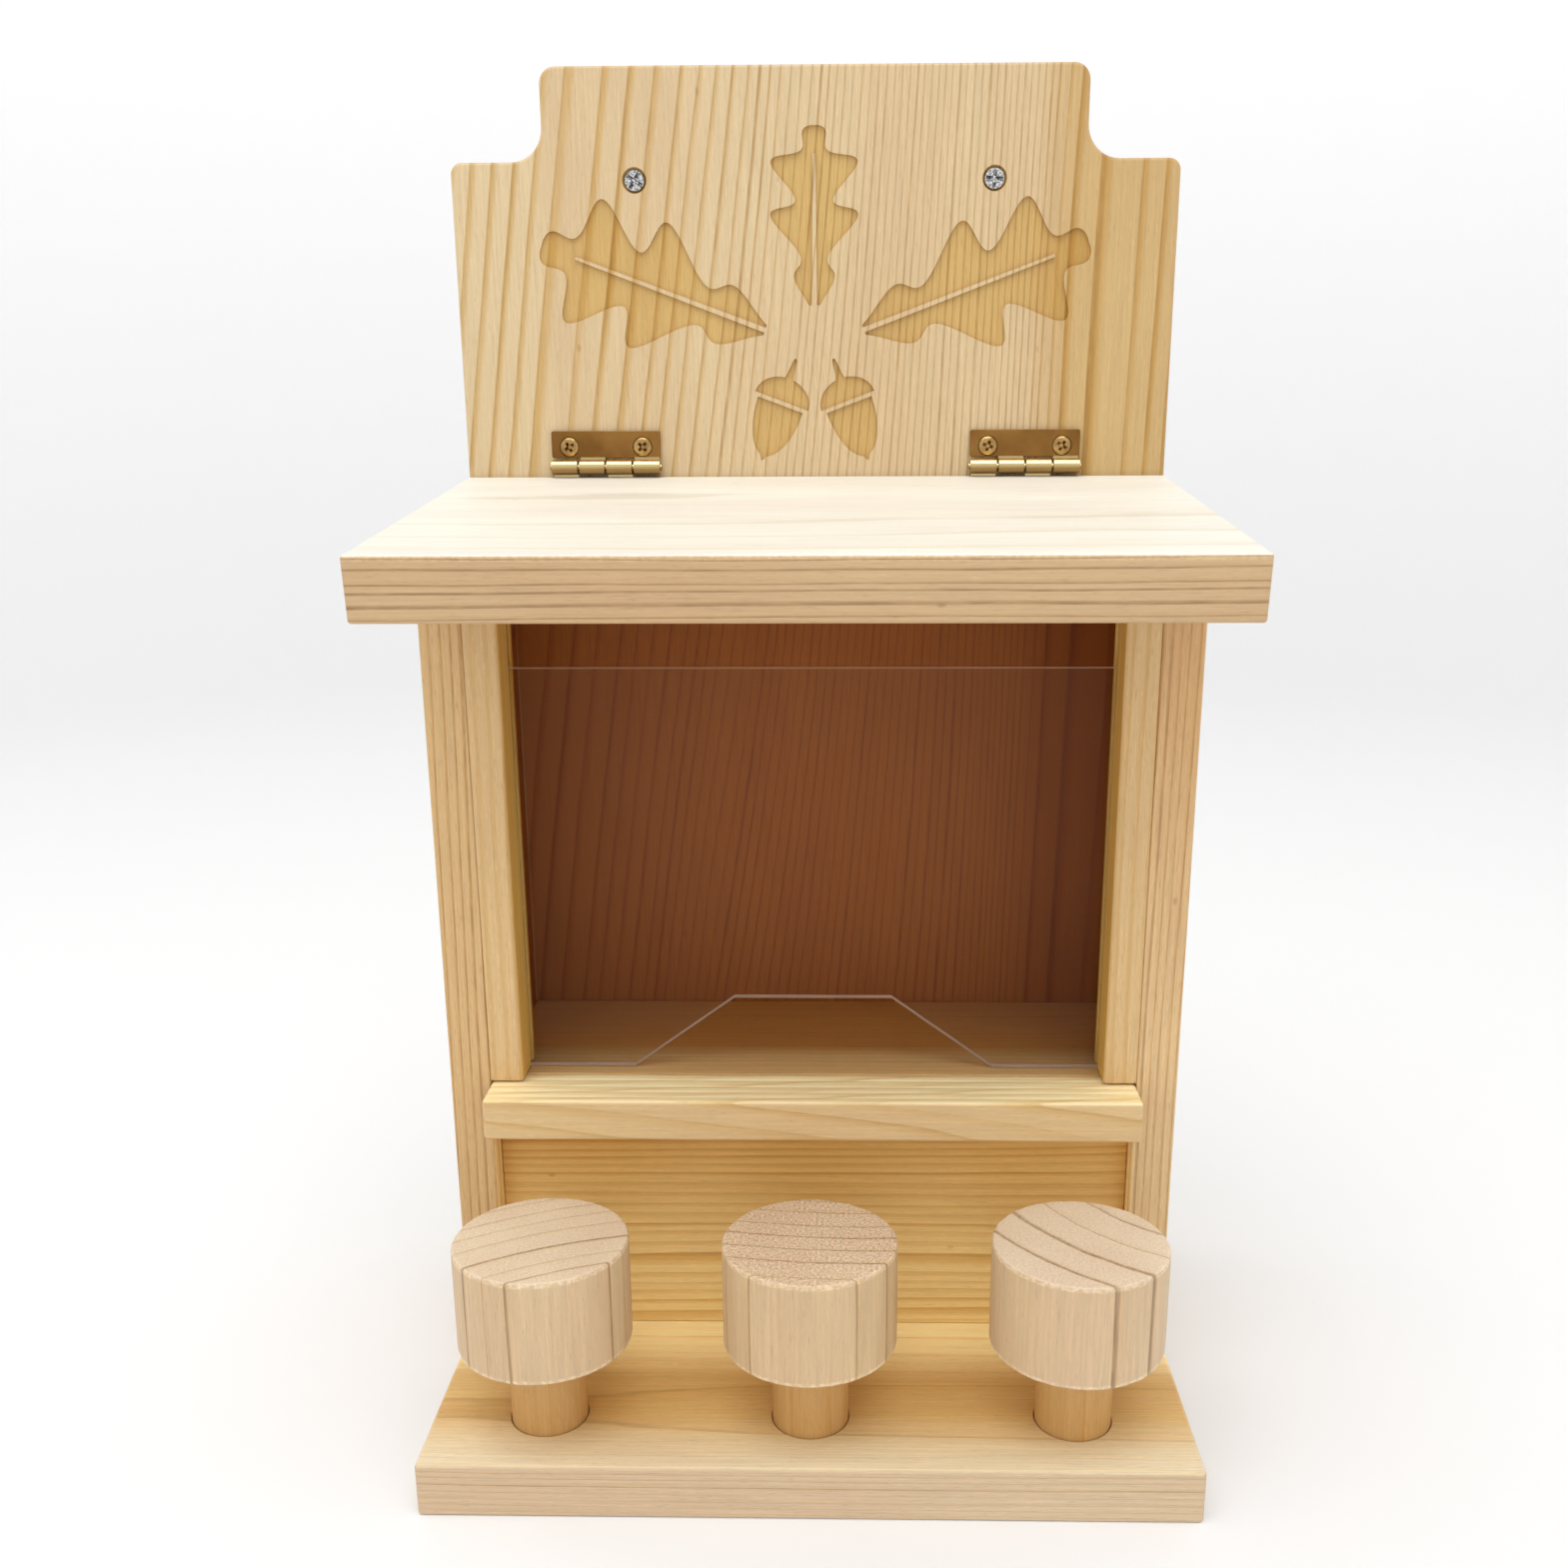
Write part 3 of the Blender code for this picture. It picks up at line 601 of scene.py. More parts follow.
@dataclass(frozen=True)
class Metal:
    """Plated or solid metal with a fine rolled texture, dull in patches and, where asked, darker underneath
    as painted shade.
    """

    name: str
    bright: Colour
    dull: Colour
    roughness: float
    relief: float = 0.000004
    patch_mm: float = 2.5
    # Painted shade: how far faces that look down are darkened, and the facing over which it grows
    underside_shade: float = 0.0
    underside_shade_facing: Pair = (0.45, -0.30)
    patch_ends: Pair = (0.35, 0.65)
    patch_roughness: float = 0.10
    rolling: Place = (1.2, 9.0, 14.0)
    rolled_roughness: float = 0.08

    def material(self) -> Material:
        """Make the material's nodes.

        Returns:
            The material.
        """
        bench = Bench(self.name)
        place = bench.place_mm()
        patch = bench.noise(bench.scaled(place, 1 / self.patch_mm), 4.0)
        patch = bench.spread(patch, *self.patch_ends, (0.0, 1.0))
        # Painted shade: faces that look down are darkened
        if self.underside_shade:
            height = bench.split(bench.coordinates["Normal"])["Z"]
            under = bench.spread(height, *self.underside_shade_facing, (0.0, self.underside_shade))
            patch = bench.maths("MAXIMUM", bench.times(patch, 1.0 - self.underside_shade), under)
        rolled = bench.noise(bench.scaled(place, *self.rolling), 3.0)
        least = self.roughness - self.patch_roughness / 2
        rough = bench.maths("MULTIPLY_ADD", patch, self.patch_roughness, least)
        rough = bench.maths("MULTIPLY_ADD", rolled, self.rolled_roughness, rough)
        bench.set(Base_Color=bench.mix(patch, self.bright, self.dull), Roughness=rough, Metallic=1.0)
        bench.bump(rolled, self.relief)
        return bench.material


@dataclass(frozen=True)
class Acrylic:
    """Cast acrylic sheet, clear through its faces and frosted by the saw on its edges; a glow, where set, is
    painted light.
    """

    name: str
    tint: Colour
    roughness: float
    transmission: float
    ior: float = 1.12
    # A painted glow: the edges give off light though the sheet is no lamp
    glow: float = 0.0
    streak_mm: float = 1.2

    def material(self) -> Material:
        """Make the material's nodes.

        Returns:
            The material.
        """
        bench = Bench(self.name)
        smear = bench.noise(bench.scaled(bench.coordinates["Object"], MM_PER_METRE / self.streak_mm), 3.0)
        rough = bench.maths("MULTIPLY_ADD", smear, self.roughness, self.roughness * 0.5)
        bench.set(Base_Color=self.tint, Roughness=rough, Transmission_Weight=self.transmission, IOR=self.ior)
        # Painted glow on the sawn edges
        bench.set(Emission_Color=self.tint, Emission_Strength=self.glow)
        return bench.material


def pine_tones(
    red: int, green: int, blue: int, late: Colour = (0.90, 0.74, 0.45), line: Colour = (0.56, 0.43, 0.29)
) -> dict[str, Colour]:
    """The four tones of a board, all from the tone of its early wood.

    Args:
        red: Red of the early wood as a screen shows it, 0 to 255.
        green: Green.
        blue: Blue.
        late: The late wood's share of each channel.
        line: The same for the thin line that ends a ring.

    Returns:
        The early, late, line and blush colours by name.
    """
    early = screen_colour(red, green, blue)
    shares = {"early": (1.0, 1.0, 1.0), "late": late, "line": line, "blush": (0.95, 0.91, 0.90)}
    return {name: tuple(one * two for one, two in zip(early, share)) for name, share in shares.items()}


# Surfaces


def unit(vectors: np.ndarray) -> np.ndarray:
    """Give vectors a length of one."""
    return vectors / np.linalg.norm(vectors, axis=-1, keepdims=True)


def rounded_outline(corners: np.ndarray, radii: float | list[float], steps: int = 5) -> np.ndarray:
    """Round the corners of a closed outline.

    Each corner gives way to an arc that meets both of its edges: it starts at the corner less
    radius * tan(half the turn) along the edge, and turns about its centre in equal steps.

    Args:
        corners: Corner places, one row each, in the plane.
        radii: The radius of each corner's arc, or one for all.
        steps: Parts of each arc.

    Returns:
        The outline's points, one row each.
    """
    corners = np.asarray(corners, float)
    radii = np.broadcast_to(np.asarray(radii, float), len(corners))
    before = unit(corners - np.roll(corners, 1, axis=0))
    after = np.roll(before, -1, axis=0)
    turn = np.arctan2(before[:, 0] * after[:, 1] - before[:, 1] * after[:, 0], np.sum(before * after, axis=1))
    left = np.stack([-before[:, 1], before[:, 0]], axis=1) * np.sign(turn)[:, None]
    start = corners - before * (radii * np.tan(np.abs(turn) / 2))[:, None]
    centre = start + left * radii[:, None]
    angle = turn[:, None] * np.linspace(0, 1, steps + 1)
    arm = start - centre
    across = arm[:, None, 0] * np.cos(angle) - arm[:, None, 1] * np.sin(angle)
    up = arm[:, None, 0] * np.sin(angle) + arm[:, None, 1] * np.cos(angle)
    return (centre[:, None] + np.stack([across, up], axis=-1)).reshape(-1, 2)


def box_corners(low: Pair, high: Pair) -> np.ndarray:
    """The corners of a rectangle, anticlockwise from its lowest."""
    return np.array([(low[0], low[1]), (high[0], low[1]), (high[0], high[1]), (low[0], high[1])])


def box_outline(low: Pair, high: Pair, radius: float) -> np.ndarray:
    """A rectangle between two corners, with its own corners rounded."""
    return rounded_outline(box_corners(low, high), radius)


def circle(radius: float, count: int) -> np.ndarray:
    """Points of a circle round the origin."""
    turn = np.linspace(0, 2 * np.pi, count, endpoint=False)
    return radius * np.stack([np.cos(turn), np.sin(turn)], axis=1)


def outward(outline: np.ndarray) -> np.ndarray:
    """Work out how each point of an outline moves when the outline grows by one.

    The move is the sum of the normals of the two edges, over one plus their dot product.

    Args:
        outline: Points in the plane, running anticlockwise.

    Returns:
        One move for each point.
    """
    edge = unit(np.roll(outline, -1, axis=0) - outline)
    after = np.stack([edge[:, 1], -edge[:, 0]], axis=1)
    before = np.roll(after, 1, axis=0)
    return (before + after) / (1 + np.sum(before * after, axis=1, keepdims=True))


def raised(flat: np.ndarray, heights: np.ndarray) -> np.ndarray:
    """Give each ring of points in the plane its own height."""
    tall = np.broadcast_to(heights[:, None, None], (*flat.shape[:2], 1))
    return np.concatenate([flat, tall], axis=-1)


def plate_rings(outline: np.ndarray, low: float, high: float, arris: float, steps: int = 4) -> np.ndarray:
    """Carry an outline from one height to another, with rounded arrises.

    While a quarter turn a runs, a ring lies arris * (1 - cos a) above the low face and is drawn in
    by arris * (1 - sin a). The high face mirrors it.

    Args:
        outline: Points in the plane, running anticlockwise.
        low: Height of the lower face.
        high: Height of the upper face.
        arris: Radius of the rounded arrises.
        steps: Parts of each quarter turn.

    Returns:
        Rings of points: ring, point, then the two places in the plane and the height.
    """
    turn = np.linspace(0, np.pi / 2, steps + 1)
    inset = arris * (1 - np.sin(turn))
    rise = arris * (1 - np.cos(turn))
    insets = np.concatenate([inset, inset[::-1]])
    heights = np.concatenate([low + rise, high - rise[::-1]])
    return raised(outline[None] - insets[:, None, None] * outward(outline)[None], heights)


def turned_rings(profile: np.ndarray, count: int) -> np.ndarray:
    """Turn a profile, rows of radius and height, about the height axis into rings of points."""
    return raised(profile[:, None, :1] * circle(1.0, count)[None], profile[:, 1])


def mirrored(profile: np.ndarray, low: float, high: float) -> np.ndarray:
    """Turn one end of a profile over, into the other end of a piece from low to high."""
    return np.stack([profile[::-1, 0], low + high - profile[::-1, 1]], axis=1)


def stood(rings: np.ndarray, plane: Plane) -> np.ndarray:
    """Put rings that were worked out flat into the plane that they belong in.

    Args:
        rings: Ring, point, then the two places in the plane and the height.
        plane: The plane.

    Returns:
        The rings, with X, Y and Z last.
    """
    placed = np.empty_like(rings)
    for source, axis in enumerate(plane.value):
        placed[..., axis] = rings[..., source]
    return placed


def skin(rings: np.ndarray) -> tuple[np.ndarray, list[list[int]]]:
    """Number the points of a stack of rings, and list the faces between one ring and the next.

    Args:
        rings: Ring, point, place.

    Returns:
        The points' numbers, one row for each ring, and the faces, four points each.
    """
    stack, count = rings.shape[:2]
    index = np.arange(stack * count).reshape(stack, count)
    ahead = np.roll(index, -1, axis=1)
    quads = np.stack([index[:-1], ahead[:-1], ahead[1:], index[1:]], axis=-1)
    return index, quads.reshape(-1, 4).tolist()


def loft(name: str, rings: np.ndarray) -> Mesh:
    """Skin a stack of rings and close both ends.

    Args:
        name: The mesh's name.
        rings: Ring, point, place.

    Returns:
        A closed mesh whose faces point outwards.
    """
    index, quads = skin(rings)
    mesh = bpy.data.meshes.new(name)
    mesh.from_pydata(rings.reshape(-1, 3), [], quads + [index[0][::-1].tolist(), index[-1].tolist()])
    tidy_mesh(mesh)
    return mesh


def tidy_mesh(mesh: Mesh, most_sides: int = 0) -> None:
    """Merge doubled points, split faces with too many sides, and point the faces outwards.

    Args:
        mesh: The mesh to mend.
        most_sides: Faces with more sides are split into triangles; 0 leaves them whole.
    """
    shape = bmesh.new()
    shape.from_mesh(mesh)
    bmesh.ops.remove_doubles(shape, verts=shape.verts, dist=WELD)
    if most_sides:
        wide = [face for face in shape.faces if len(face.verts) > most_sides]
        bmesh.ops.triangulate(shape, faces=wide)
    bmesh.ops.recalc_face_normals(shape, faces=shape.faces)
    shape.to_mesh(mesh)
    shape.free()
    mesh.shade_smooth()
    mesh.set_sharp_from_angle(angle=SMOOTH_ANGLE)


def in_scene(name: str, data: bpy.types.ID) -> bpy.types.Object:
    """Add a mesh, a lamp or a camera to the scene.

    Args:
        name: The object's name.
        data: What it shows.

    Returns:
        The object, at the origin.
    """
    thing = bpy.data.objects.new(name, data)
    bpy.context.scene.collection.objects.link(thing)
    return thing


def face_rows(mesh: Mesh, what: str) -> np.ndarray:
    """One row for each face.

    Args:
        mesh: The mesh.
        what: Blender's name for a place or a direction that its faces have.

    Returns:
        X, Y and Z of each face.
    """
    found = np.empty(len(mesh.polygons) * 3)
    mesh.polygons.foreach_get(what, found)
    return found.reshape(-1, 3)


def dress(mesh: Mesh, first: Material, second: Material, chosen: np.ndarray) -> None:
    """Give a mesh two finishes.

    Args:
        mesh: The mesh.
        first: The finish of most faces.
        second: The finish of the chosen faces.
        chosen: Whether each face is chosen.
    """
    mesh.materials.append(first)
    mesh.materials.append(second)
    mesh.polygons.foreach_set("material_index", chosen.astype(np.int32))


def upright_axis(node: str) -> tuple[np.ndarray, float]:
    """The place at height 0 of an upright round CAD node's axis, and the node's radius."""
    low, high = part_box(node)
    return np.array([(low.x + high.x) / 2, (low.y + high.y) / 2, 0.0]), (high.x - low.x) / 2


def gathered(name: str, meshes: list[Mesh]) -> Mesh:
    """Put several closed meshes into one, with the first one's materials.

    Args:
        name: The new mesh's name.
        meshes: The meshes.

    Returns:
        The one mesh.
    """
    shape = bmesh.new()
    for mesh in meshes:
        shape.from_mesh(mesh)
    whole = bpy.data.meshes.new(name)
    for finish in meshes[0].materials:
        whole.materials.append(finish)
    shape.to_mesh(whole)
    shape.free()
    return whole


def carved(name: str, mesh: Mesh, cutters: list[Mesh], operation: str = "DIFFERENCE") -> Mesh:
    """Cut closed shapes out of a closed mesh in one step, or join them to it.

    Args:
        name: The new mesh's name.
        mesh: The mesh to cut.
        cutters: Closed meshes that don't touch one another. Cut faces take their material.
        operation: Blender's name for what is done with them.

    Returns:
        The finished mesh.
    """
    thing = in_scene(name, mesh)
    tool = in_scene(name + "_tool", gathered(name + "_tool", cutters))
    step = thing.modifiers.new("cut", "BOOLEAN")
    step.operation = operation
    step.solver = "MANIFOLD"
    step.material_mode = "TRANSFER" if tool.data.materials else "INDEX"
    step.object = tool
    bpy.context.view_layer.update()
    found = bpy.data.meshes.new_from_object(thing.evaluated_get(bpy.context.evaluated_depsgraph_get()))
    found.name = name
    for used in (thing, tool):
        bpy.data.objects.remove(used)
    for index in reversed(range(len(found.materials))):
        if found.materials[index] is None:
            found.materials.pop(index=index)
    tidy_mesh(found, MANY_SIDED)
    return found


def block(name: str, outline: np.ndarray, low: float, high: float) -> Mesh:
    """A sharp-edged cutter whose outline lies in the front plane, from one depth to another."""
    return loft(name, stood(plate_rings(outline, low, high, 0.0, 1)[1:3], Plane.FRONT))


class Assembly:
    """A group of pieces that are built and dressed together."""

    @staticmethod
    def keep(node: str, mesh: Mesh, finish: Material, slot: str, body: Body = Body.FEEDER) -> None:
        """Add a piece that stands for a CAD node.

        Args:
            node: The node's name; the piece has the same with _piece after it.
            mesh: The piece's mesh, in place.
            finish: Its material.
            slot: The record's material slot; not used.
            body: The body that it rides on.
        """
        piece = in_scene(node + "_piece", mesh)
        if not mesh.materials:
            mesh.materials.append(finish)
        even = piece.modifiers.new("even_shading", "WEIGHTED_NORMAL")
        even.keep_sharp = True
        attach(piece, body.value)
        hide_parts(node)
        LOG.info("%s: %d faces, rides on %s", piece.name, len(mesh.polygons), body.value)


# Screws


@dataclass(frozen=True)
class ScrewKind:
    """A wood screw with a cross recess: what its CAD box doesn't tell."""

    finish: str
    shank: float
    tip: float
    dome: float = 0.0
    pitch: float = 0.0
    thread: float = 0.0003
    plain_share: float = 0.35
    plain_rings: int = 8
    pitch_rings: int = 5
    blunt: float = 0.04
    rim: float = 0.07
    arm: float = 0.30
    room: float = 0.00012
    head_share: float = 1.0


@dataclass
class Screw(Assembly):
    """One wood screw, from the dome of its head to its point."""

    node: str
    kind: ScrewKind
    driven: Driven
    turn: float
    slot: str
    body: Body = Body.FEEDER
    slot_share: float = 0.085
    depth_share: float = 0.30
    floor_share: float = 0.40
    dome_shares: Pair = (0.05, 0.93)
    points: int = 40
    hole_points: int = 48

    def __post_init__(self) -> None:
        """Read the head's place, radius and length off the CAD node."""
        low, high = (np.array(corner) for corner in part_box(self.node))
        axis, way = self.driven.value
        self.across = [index for index in range(3) if index != axis]
        self.place = (low + high) / 2
        self.place[axis] = low[axis] if way > 0 else high[axis]
        self.radius = self.kind.head_share * float((high - low)[self.across].max() / 2)
        self.length = float((high - low)[axis])

    def aimed(self, rings: np.ndarray) -> np.ndarray:
        """Put rings where the screw is, pointing the way that it is driven.

        Args:
            rings: Rings that point down their own height axis.

        Returns:
            The rings in place.
        """
        axis, way = self.driven.value
        placed = np.empty_like(rings)
        placed[..., self.across] = rings[..., :2]
        placed[..., axis] = -way * rings[..., 2]
        return placed + self.place

    def profile(self, steps: int = 6) -> np.ndarray:
        """Half section of the screw's head, from the top of its dome down.

        The dome is a flat arc: its height falls with the square of the distance from the axis.

        Args:
            steps: Rings on the dome; the rounded rim has about half as many.

        Returns:
            Rows of radius and height, the top of the dome at height 0.
        """
        share = np.linspace(*self.dome_shares, steps)
        dome = np.stack([share * self.radius, -self.kind.dome * share**2], axis=1)
        rim = self.kind.rim * self.radius
        turn = np.linspace(np.pi / 2, 0, steps // 2 + 1)
        drop = rim * (np.sin(turn) - 1) - self.kind.dome
        bend = np.stack([self.radius - rim + rim * np.cos(turn), drop], axis=1)
        neck = self.kind.dome + rim + self.radius - self.kind.shank
        return np.concatenate([dome, bend[1:], [[self.kind.shank, -neck]]])

    def shank_rings(self, neck: float) -> np.ndarray:
        """Rings of the shank, its thread and its point.

        The radius is the shank's, less a thread that is the square of a triangle wave of turns gone
        by: the height over the pitch plus the share of a turn. The point narrows it evenly.

        Args:
            neck: Height at which the head ends.

        Returns:
            Rings of points.
        """
        kind, whole = self.kind, self.length + neck
        stack = int(kind.pitch_rings * whole / kind.pitch) if kind.pitch else kind.plain_rings
        height = np.linspace(neck, -self.length, stack)[1:]
        radius = np.full((len(height), self.points), kind.shank)
        if kind.pitch:
            turns = np.arange(self.points) / self.points
            wave = np.abs(2 * ((height[:, None] / kind.pitch + turns[None]) % 1.0) - 1)
            threaded = height[:, None] < neck - kind.plain_share * whole
            radius = radius - np.where(threaded, kind.thread * wave**2, 0.0)
        radius = radius * np.clip((height + self.length) / kind.tip, kind.blunt, 1.0)[:, None]
        return raised(radius[..., None] * circle(1.0, self.points)[None], height)

    def recess(self) -> Mesh:
        """The cross that is pressed into the head, tapered towards its floor.

        Returns:
            A closed cutter.
        """
        arm = self.kind.arm * 2 * self.radius
        half = self.slot_share * 2 * self.radius
        quarter = np.array([(arm, -half), (arm, half), (half, half)])
        angles = self.turn + np.arange(4) * np.pi / 2
        first = np.stack([np.cos(angles), -np.sin(angles)], 1)
        second = np.stack([np.sin(angles), np.cos(angles)], 1)
        outline = np.einsum("kij,nj->kni", np.stack([first, second], 1), quarter).reshape(-1, 2)
        depth = self.depth_share * 2 * self.radius
        scale = np.array([1.0 + (1 - self.floor_share), 1.0, self.floor_share])
        rings = raised(scale[:, None, None] * outline[None], np.array([depth, 0.0, -depth]))
        return loft(self.node + "_recess", self.aimed(rings))

    def hole(self) -> Mesh:
        """The countersunk hole that the head lies in.

        Returns:
            A closed cutter.
        """
        gap = self.kind.room
        rim = -self.kind.dome
        neck = rim - (self.radius - self.kind.shank)
        head = self.radius + gap
        shank = self.kind.shank + gap
        profile = [(head, CUT_OVERRUN), (head, rim - gap), (shank, neck - gap), (shank, -self.length - gap)]
        return loft(self.node + "_hole", self.aimed(turned_rings(np.array(profile), self.hole_points)))

    def build(self, finish: Material) -> None:
        """Make the screw.

        Args:
            finish: Its metal.
        """
        profile = self.profile()
        rings = np.concatenate([turned_rings(profile, self.points), self.shank_rings(profile[-1, 1])])
        mesh = carved(self.node, loft(self.node, self.aimed(rings)), [self.recess()])
        self.keep(self.node, mesh, finish, self.slot, self.body)


BRASS_SCREW = ScrewKind("brass_screw", shank=0.0009, tip=0.0020, dome=0.0004)
FLUSH_BRASS_SCREW = ScrewKind("brass_screw", shank=0.0009, tip=0.0020)
BOARD_SCREW = ScrewKind("zinc", shank=0.0014, tip=0.0040)
HANGING_SCREW = ScrewKind(
    "zinc", shank=0.0015, tip=0.0040, pitch=0.0013, rim=0.20, arm=0.42, room=0.00042, head_share=0.84
)


# Carved ornament


def laid(outline: np.ndarray, turn: float, place: Pair) -> np.ndarray:
    """Turn an outline about its origin and move it."""
    matrix = np.array([(math.cos(turn), -math.sin(turn)), (math.sin(turn), math.cos(turn))])
    return outline @ matrix.T + place


@dataclass(frozen=True)
class OakSprig:
    """A sprig of three oak leaves and two acorns, pocketed into the face of the back board."""

    place: Pair = (0.0, 0.2310)
    leaf_length: float = 0.0560
    leaf_width: float = 0.0150
    middle_length: float = 0.0400
    middle_width: float = 0.0105
    leaf_turn: float = math.radians(70)
    leaf_start: float = 0.0085
    middle_start: float = 0.0060
    lobes: float = 3.5
    lobe_depth: float = 0.30
    lobe_start: float = 0.52
    lobe_lean: float = 0.45
    bulge_place: float = 1.25
    bulge_power: float = 0.75
    midrib: float = 0.0011
    rib_share: float = 0.86
    rib_taper: float = 0.6
    nut_length: float = 0.0118
    nut_width: float = 0.0054
    nut_point: float = 0.0012
    nut_point_turn: float = 0.10
    cup_width_share: float = 1.18
    cup_height_share: float = 0.95
    cup_gap_share: float = 0.8
    acorn_turn: float = math.radians(20)
    acorn_place: Pair = (0.0078, -0.0120)
    stalk: float = 0.0045
    stalk_turn: float = 0.11
    depth: float = 0.0007
    leaf_points: int = 120
    nut_points: int = 65
    cup_points: int = 121

    def leaf(self, length: float, width: float) -> np.ndarray:
        """An oak leaf, stalk end at the origin and tip up, with its midrib left standing.

        At a share s of its length the leaf is as wide as a sine bulge, widest past the middle, times
        a cosine of the lobes. Each lobe leans towards the tip by a share of its width. The outline
        runs up one edge, down the other, then up one side of the midrib and down the other side.

        Args:
            length: From stalk to tip.
            width: Half width of the widest lobe.

        Returns:
            The outline's points, anticlockwise.
        """
        share = np.linspace(0.0, 1.0, self.leaf_points)
        bulge = np.sin(np.pi * share**self.bulge_place) ** self.bulge_power
        lobe = np.cos(2 * np.pi * (self.lobes * share - self.lobe_start))
        wave = (1 - self.lobe_depth) + self.lobe_depth * lobe
        reach = np.maximum(width * bulge * wave, 0.0)
        edge = np.stack([reach, length * share + self.lobe_lean * reach], axis=1)
        edge = edge[(reach > self.midrib) | (share > 0.5)]
        edge[-1, 0] = 0.0
        half = self.midrib / 2
        tip = half * self.rib_taper
        rib = self.rib_share * length
        keel = np.array([(-half, edge[0, 1]), (-tip, rib), (tip, rib), (half, edge[0, 1])])
        return np.concatenate([edge, edge[-2::-1] * (-1, 1), keel])

    def nut(self) -> np.ndarray:
        """An acorn's nut: half an ellipse that hangs down and ends in a small point.

        Returns:
            The outline's points, anticlockwise.
        """
        turn = np.linspace(np.pi, 2 * np.pi, self.nut_points)
        point = self.nut_point * np.exp(-(((turn - 1.5 * np.pi) / self.nut_point_turn) ** 2))
        return np.stack([self.nut_width * np.cos(turn), self.nut_length * np.sin(turn) - point], axis=1)

    def cup(self) -> np.ndarray:
        """An acorn's cup: a low dome, a little wider than the nut, with a stalk on top.

        Returns:
            The outline's points, anticlockwise.
        """
        turn = np.linspace(0, np.pi, self.cup_points)
        stalk = self.stalk * np.exp(-(((turn - np.pi / 2) / self.stalk_turn) ** 4))
        rise = self.nut_width * self.cup_height_share * np.sin(turn) + stalk
        wide = self.nut_width * self.cup_width_share
        return np.stack([wide * np.cos(turn), rise + self.midrib * self.cup_gap_share], axis=1)

    def outlines(self) -> list[np.ndarray]:
        """Lay the leaves and acorns out.

        Returns:
            Outlines in the plane of the board's face.
        """
        x, z = self.place
        found = []
        for turn in (-self.leaf_turn, self.leaf_turn):
            start = (x - self.leaf_start * math.sin(turn), z + self.leaf_start * math.cos(turn))
            found.append(laid(self.leaf(self.leaf_length, self.leaf_width), turn, start))
        found.append(laid(self.leaf(self.middle_length, self.middle_width), 0.0, (x, z + self.middle_start)))
        for side in (-1, 1):
            hang = (x + side * self.acorn_place[0], z + self.acorn_place[1])
            found += [laid(piece, side * self.acorn_turn, hang) for piece in (self.nut(), self.cup())]
        return found

    def cutters(self, face_y: float) -> list[Mesh]:
        """Closed cutters that carve each outline into a board whose face is at that place."""
        depths = (face_y - CUT_OVERRUN, face_y + self.depth)
        return [block(f"pocket_{number}", outline, *depths) for number, outline in enumerate(self.outlines())]


# Boards


@dataclass
class BackBoard(Assembly):
    """The tall board with coved shoulders and its carved sprig."""

    shoulder_width: float = 0.0204
    shoulder_drop: float = 0.0190
    cove: float = 0.0070
    crown: float = 0.0035
    shoulder_corner: float = 0.0025
    arris: float = 0.0007
    sprig: OakSprig = field(default_factory=OakSprig)

    def outline(self) -> np.ndarray:
        """Front view of the board.

        Returns:
            The outline's points, anticlockwise from the lower right corner.
        """
        low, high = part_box("back_board")
        top = high.x - self.shoulder_width
        shoulder = high.z - self.shoulder_drop
        right = [(high.x, low.z), (high.x, shoulder), (top, shoulder), (top, high.z)]
        radii = [self.arris, self.shoulder_corner, self.cove, self.crown]
        corners = right + [(-x, z) for x, z in reversed(right)]
        return rounded_outline(np.array(corners), radii + radii[::-1], steps=10)

    def build(self, finishes: dict[str, Material], screws: list[Screw]) -> None:
        """Make the board, with a pocket for each shape of the sprig and a hole for each screw.

        Args:
            finishes: Materials by name.
            screws: The screws that pass through it.
        """
        low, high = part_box("back_board")
        plain = loft("back_board", stood(plate_rings(self.outline(), low.y, high.y, self.arris), Plane.FRONT))
        plain.materials.append(finishes["pine_back"])
        cutters = self.sprig.cutters(low.y) + [screw.hole() for screw in screws]
        for cutter in cutters:
            cutter.materials.append(finishes["pine_pocket"])
        self.keep("back_board", carved("back_board", plain, cutters), finishes["pine_back"], "pine_back")


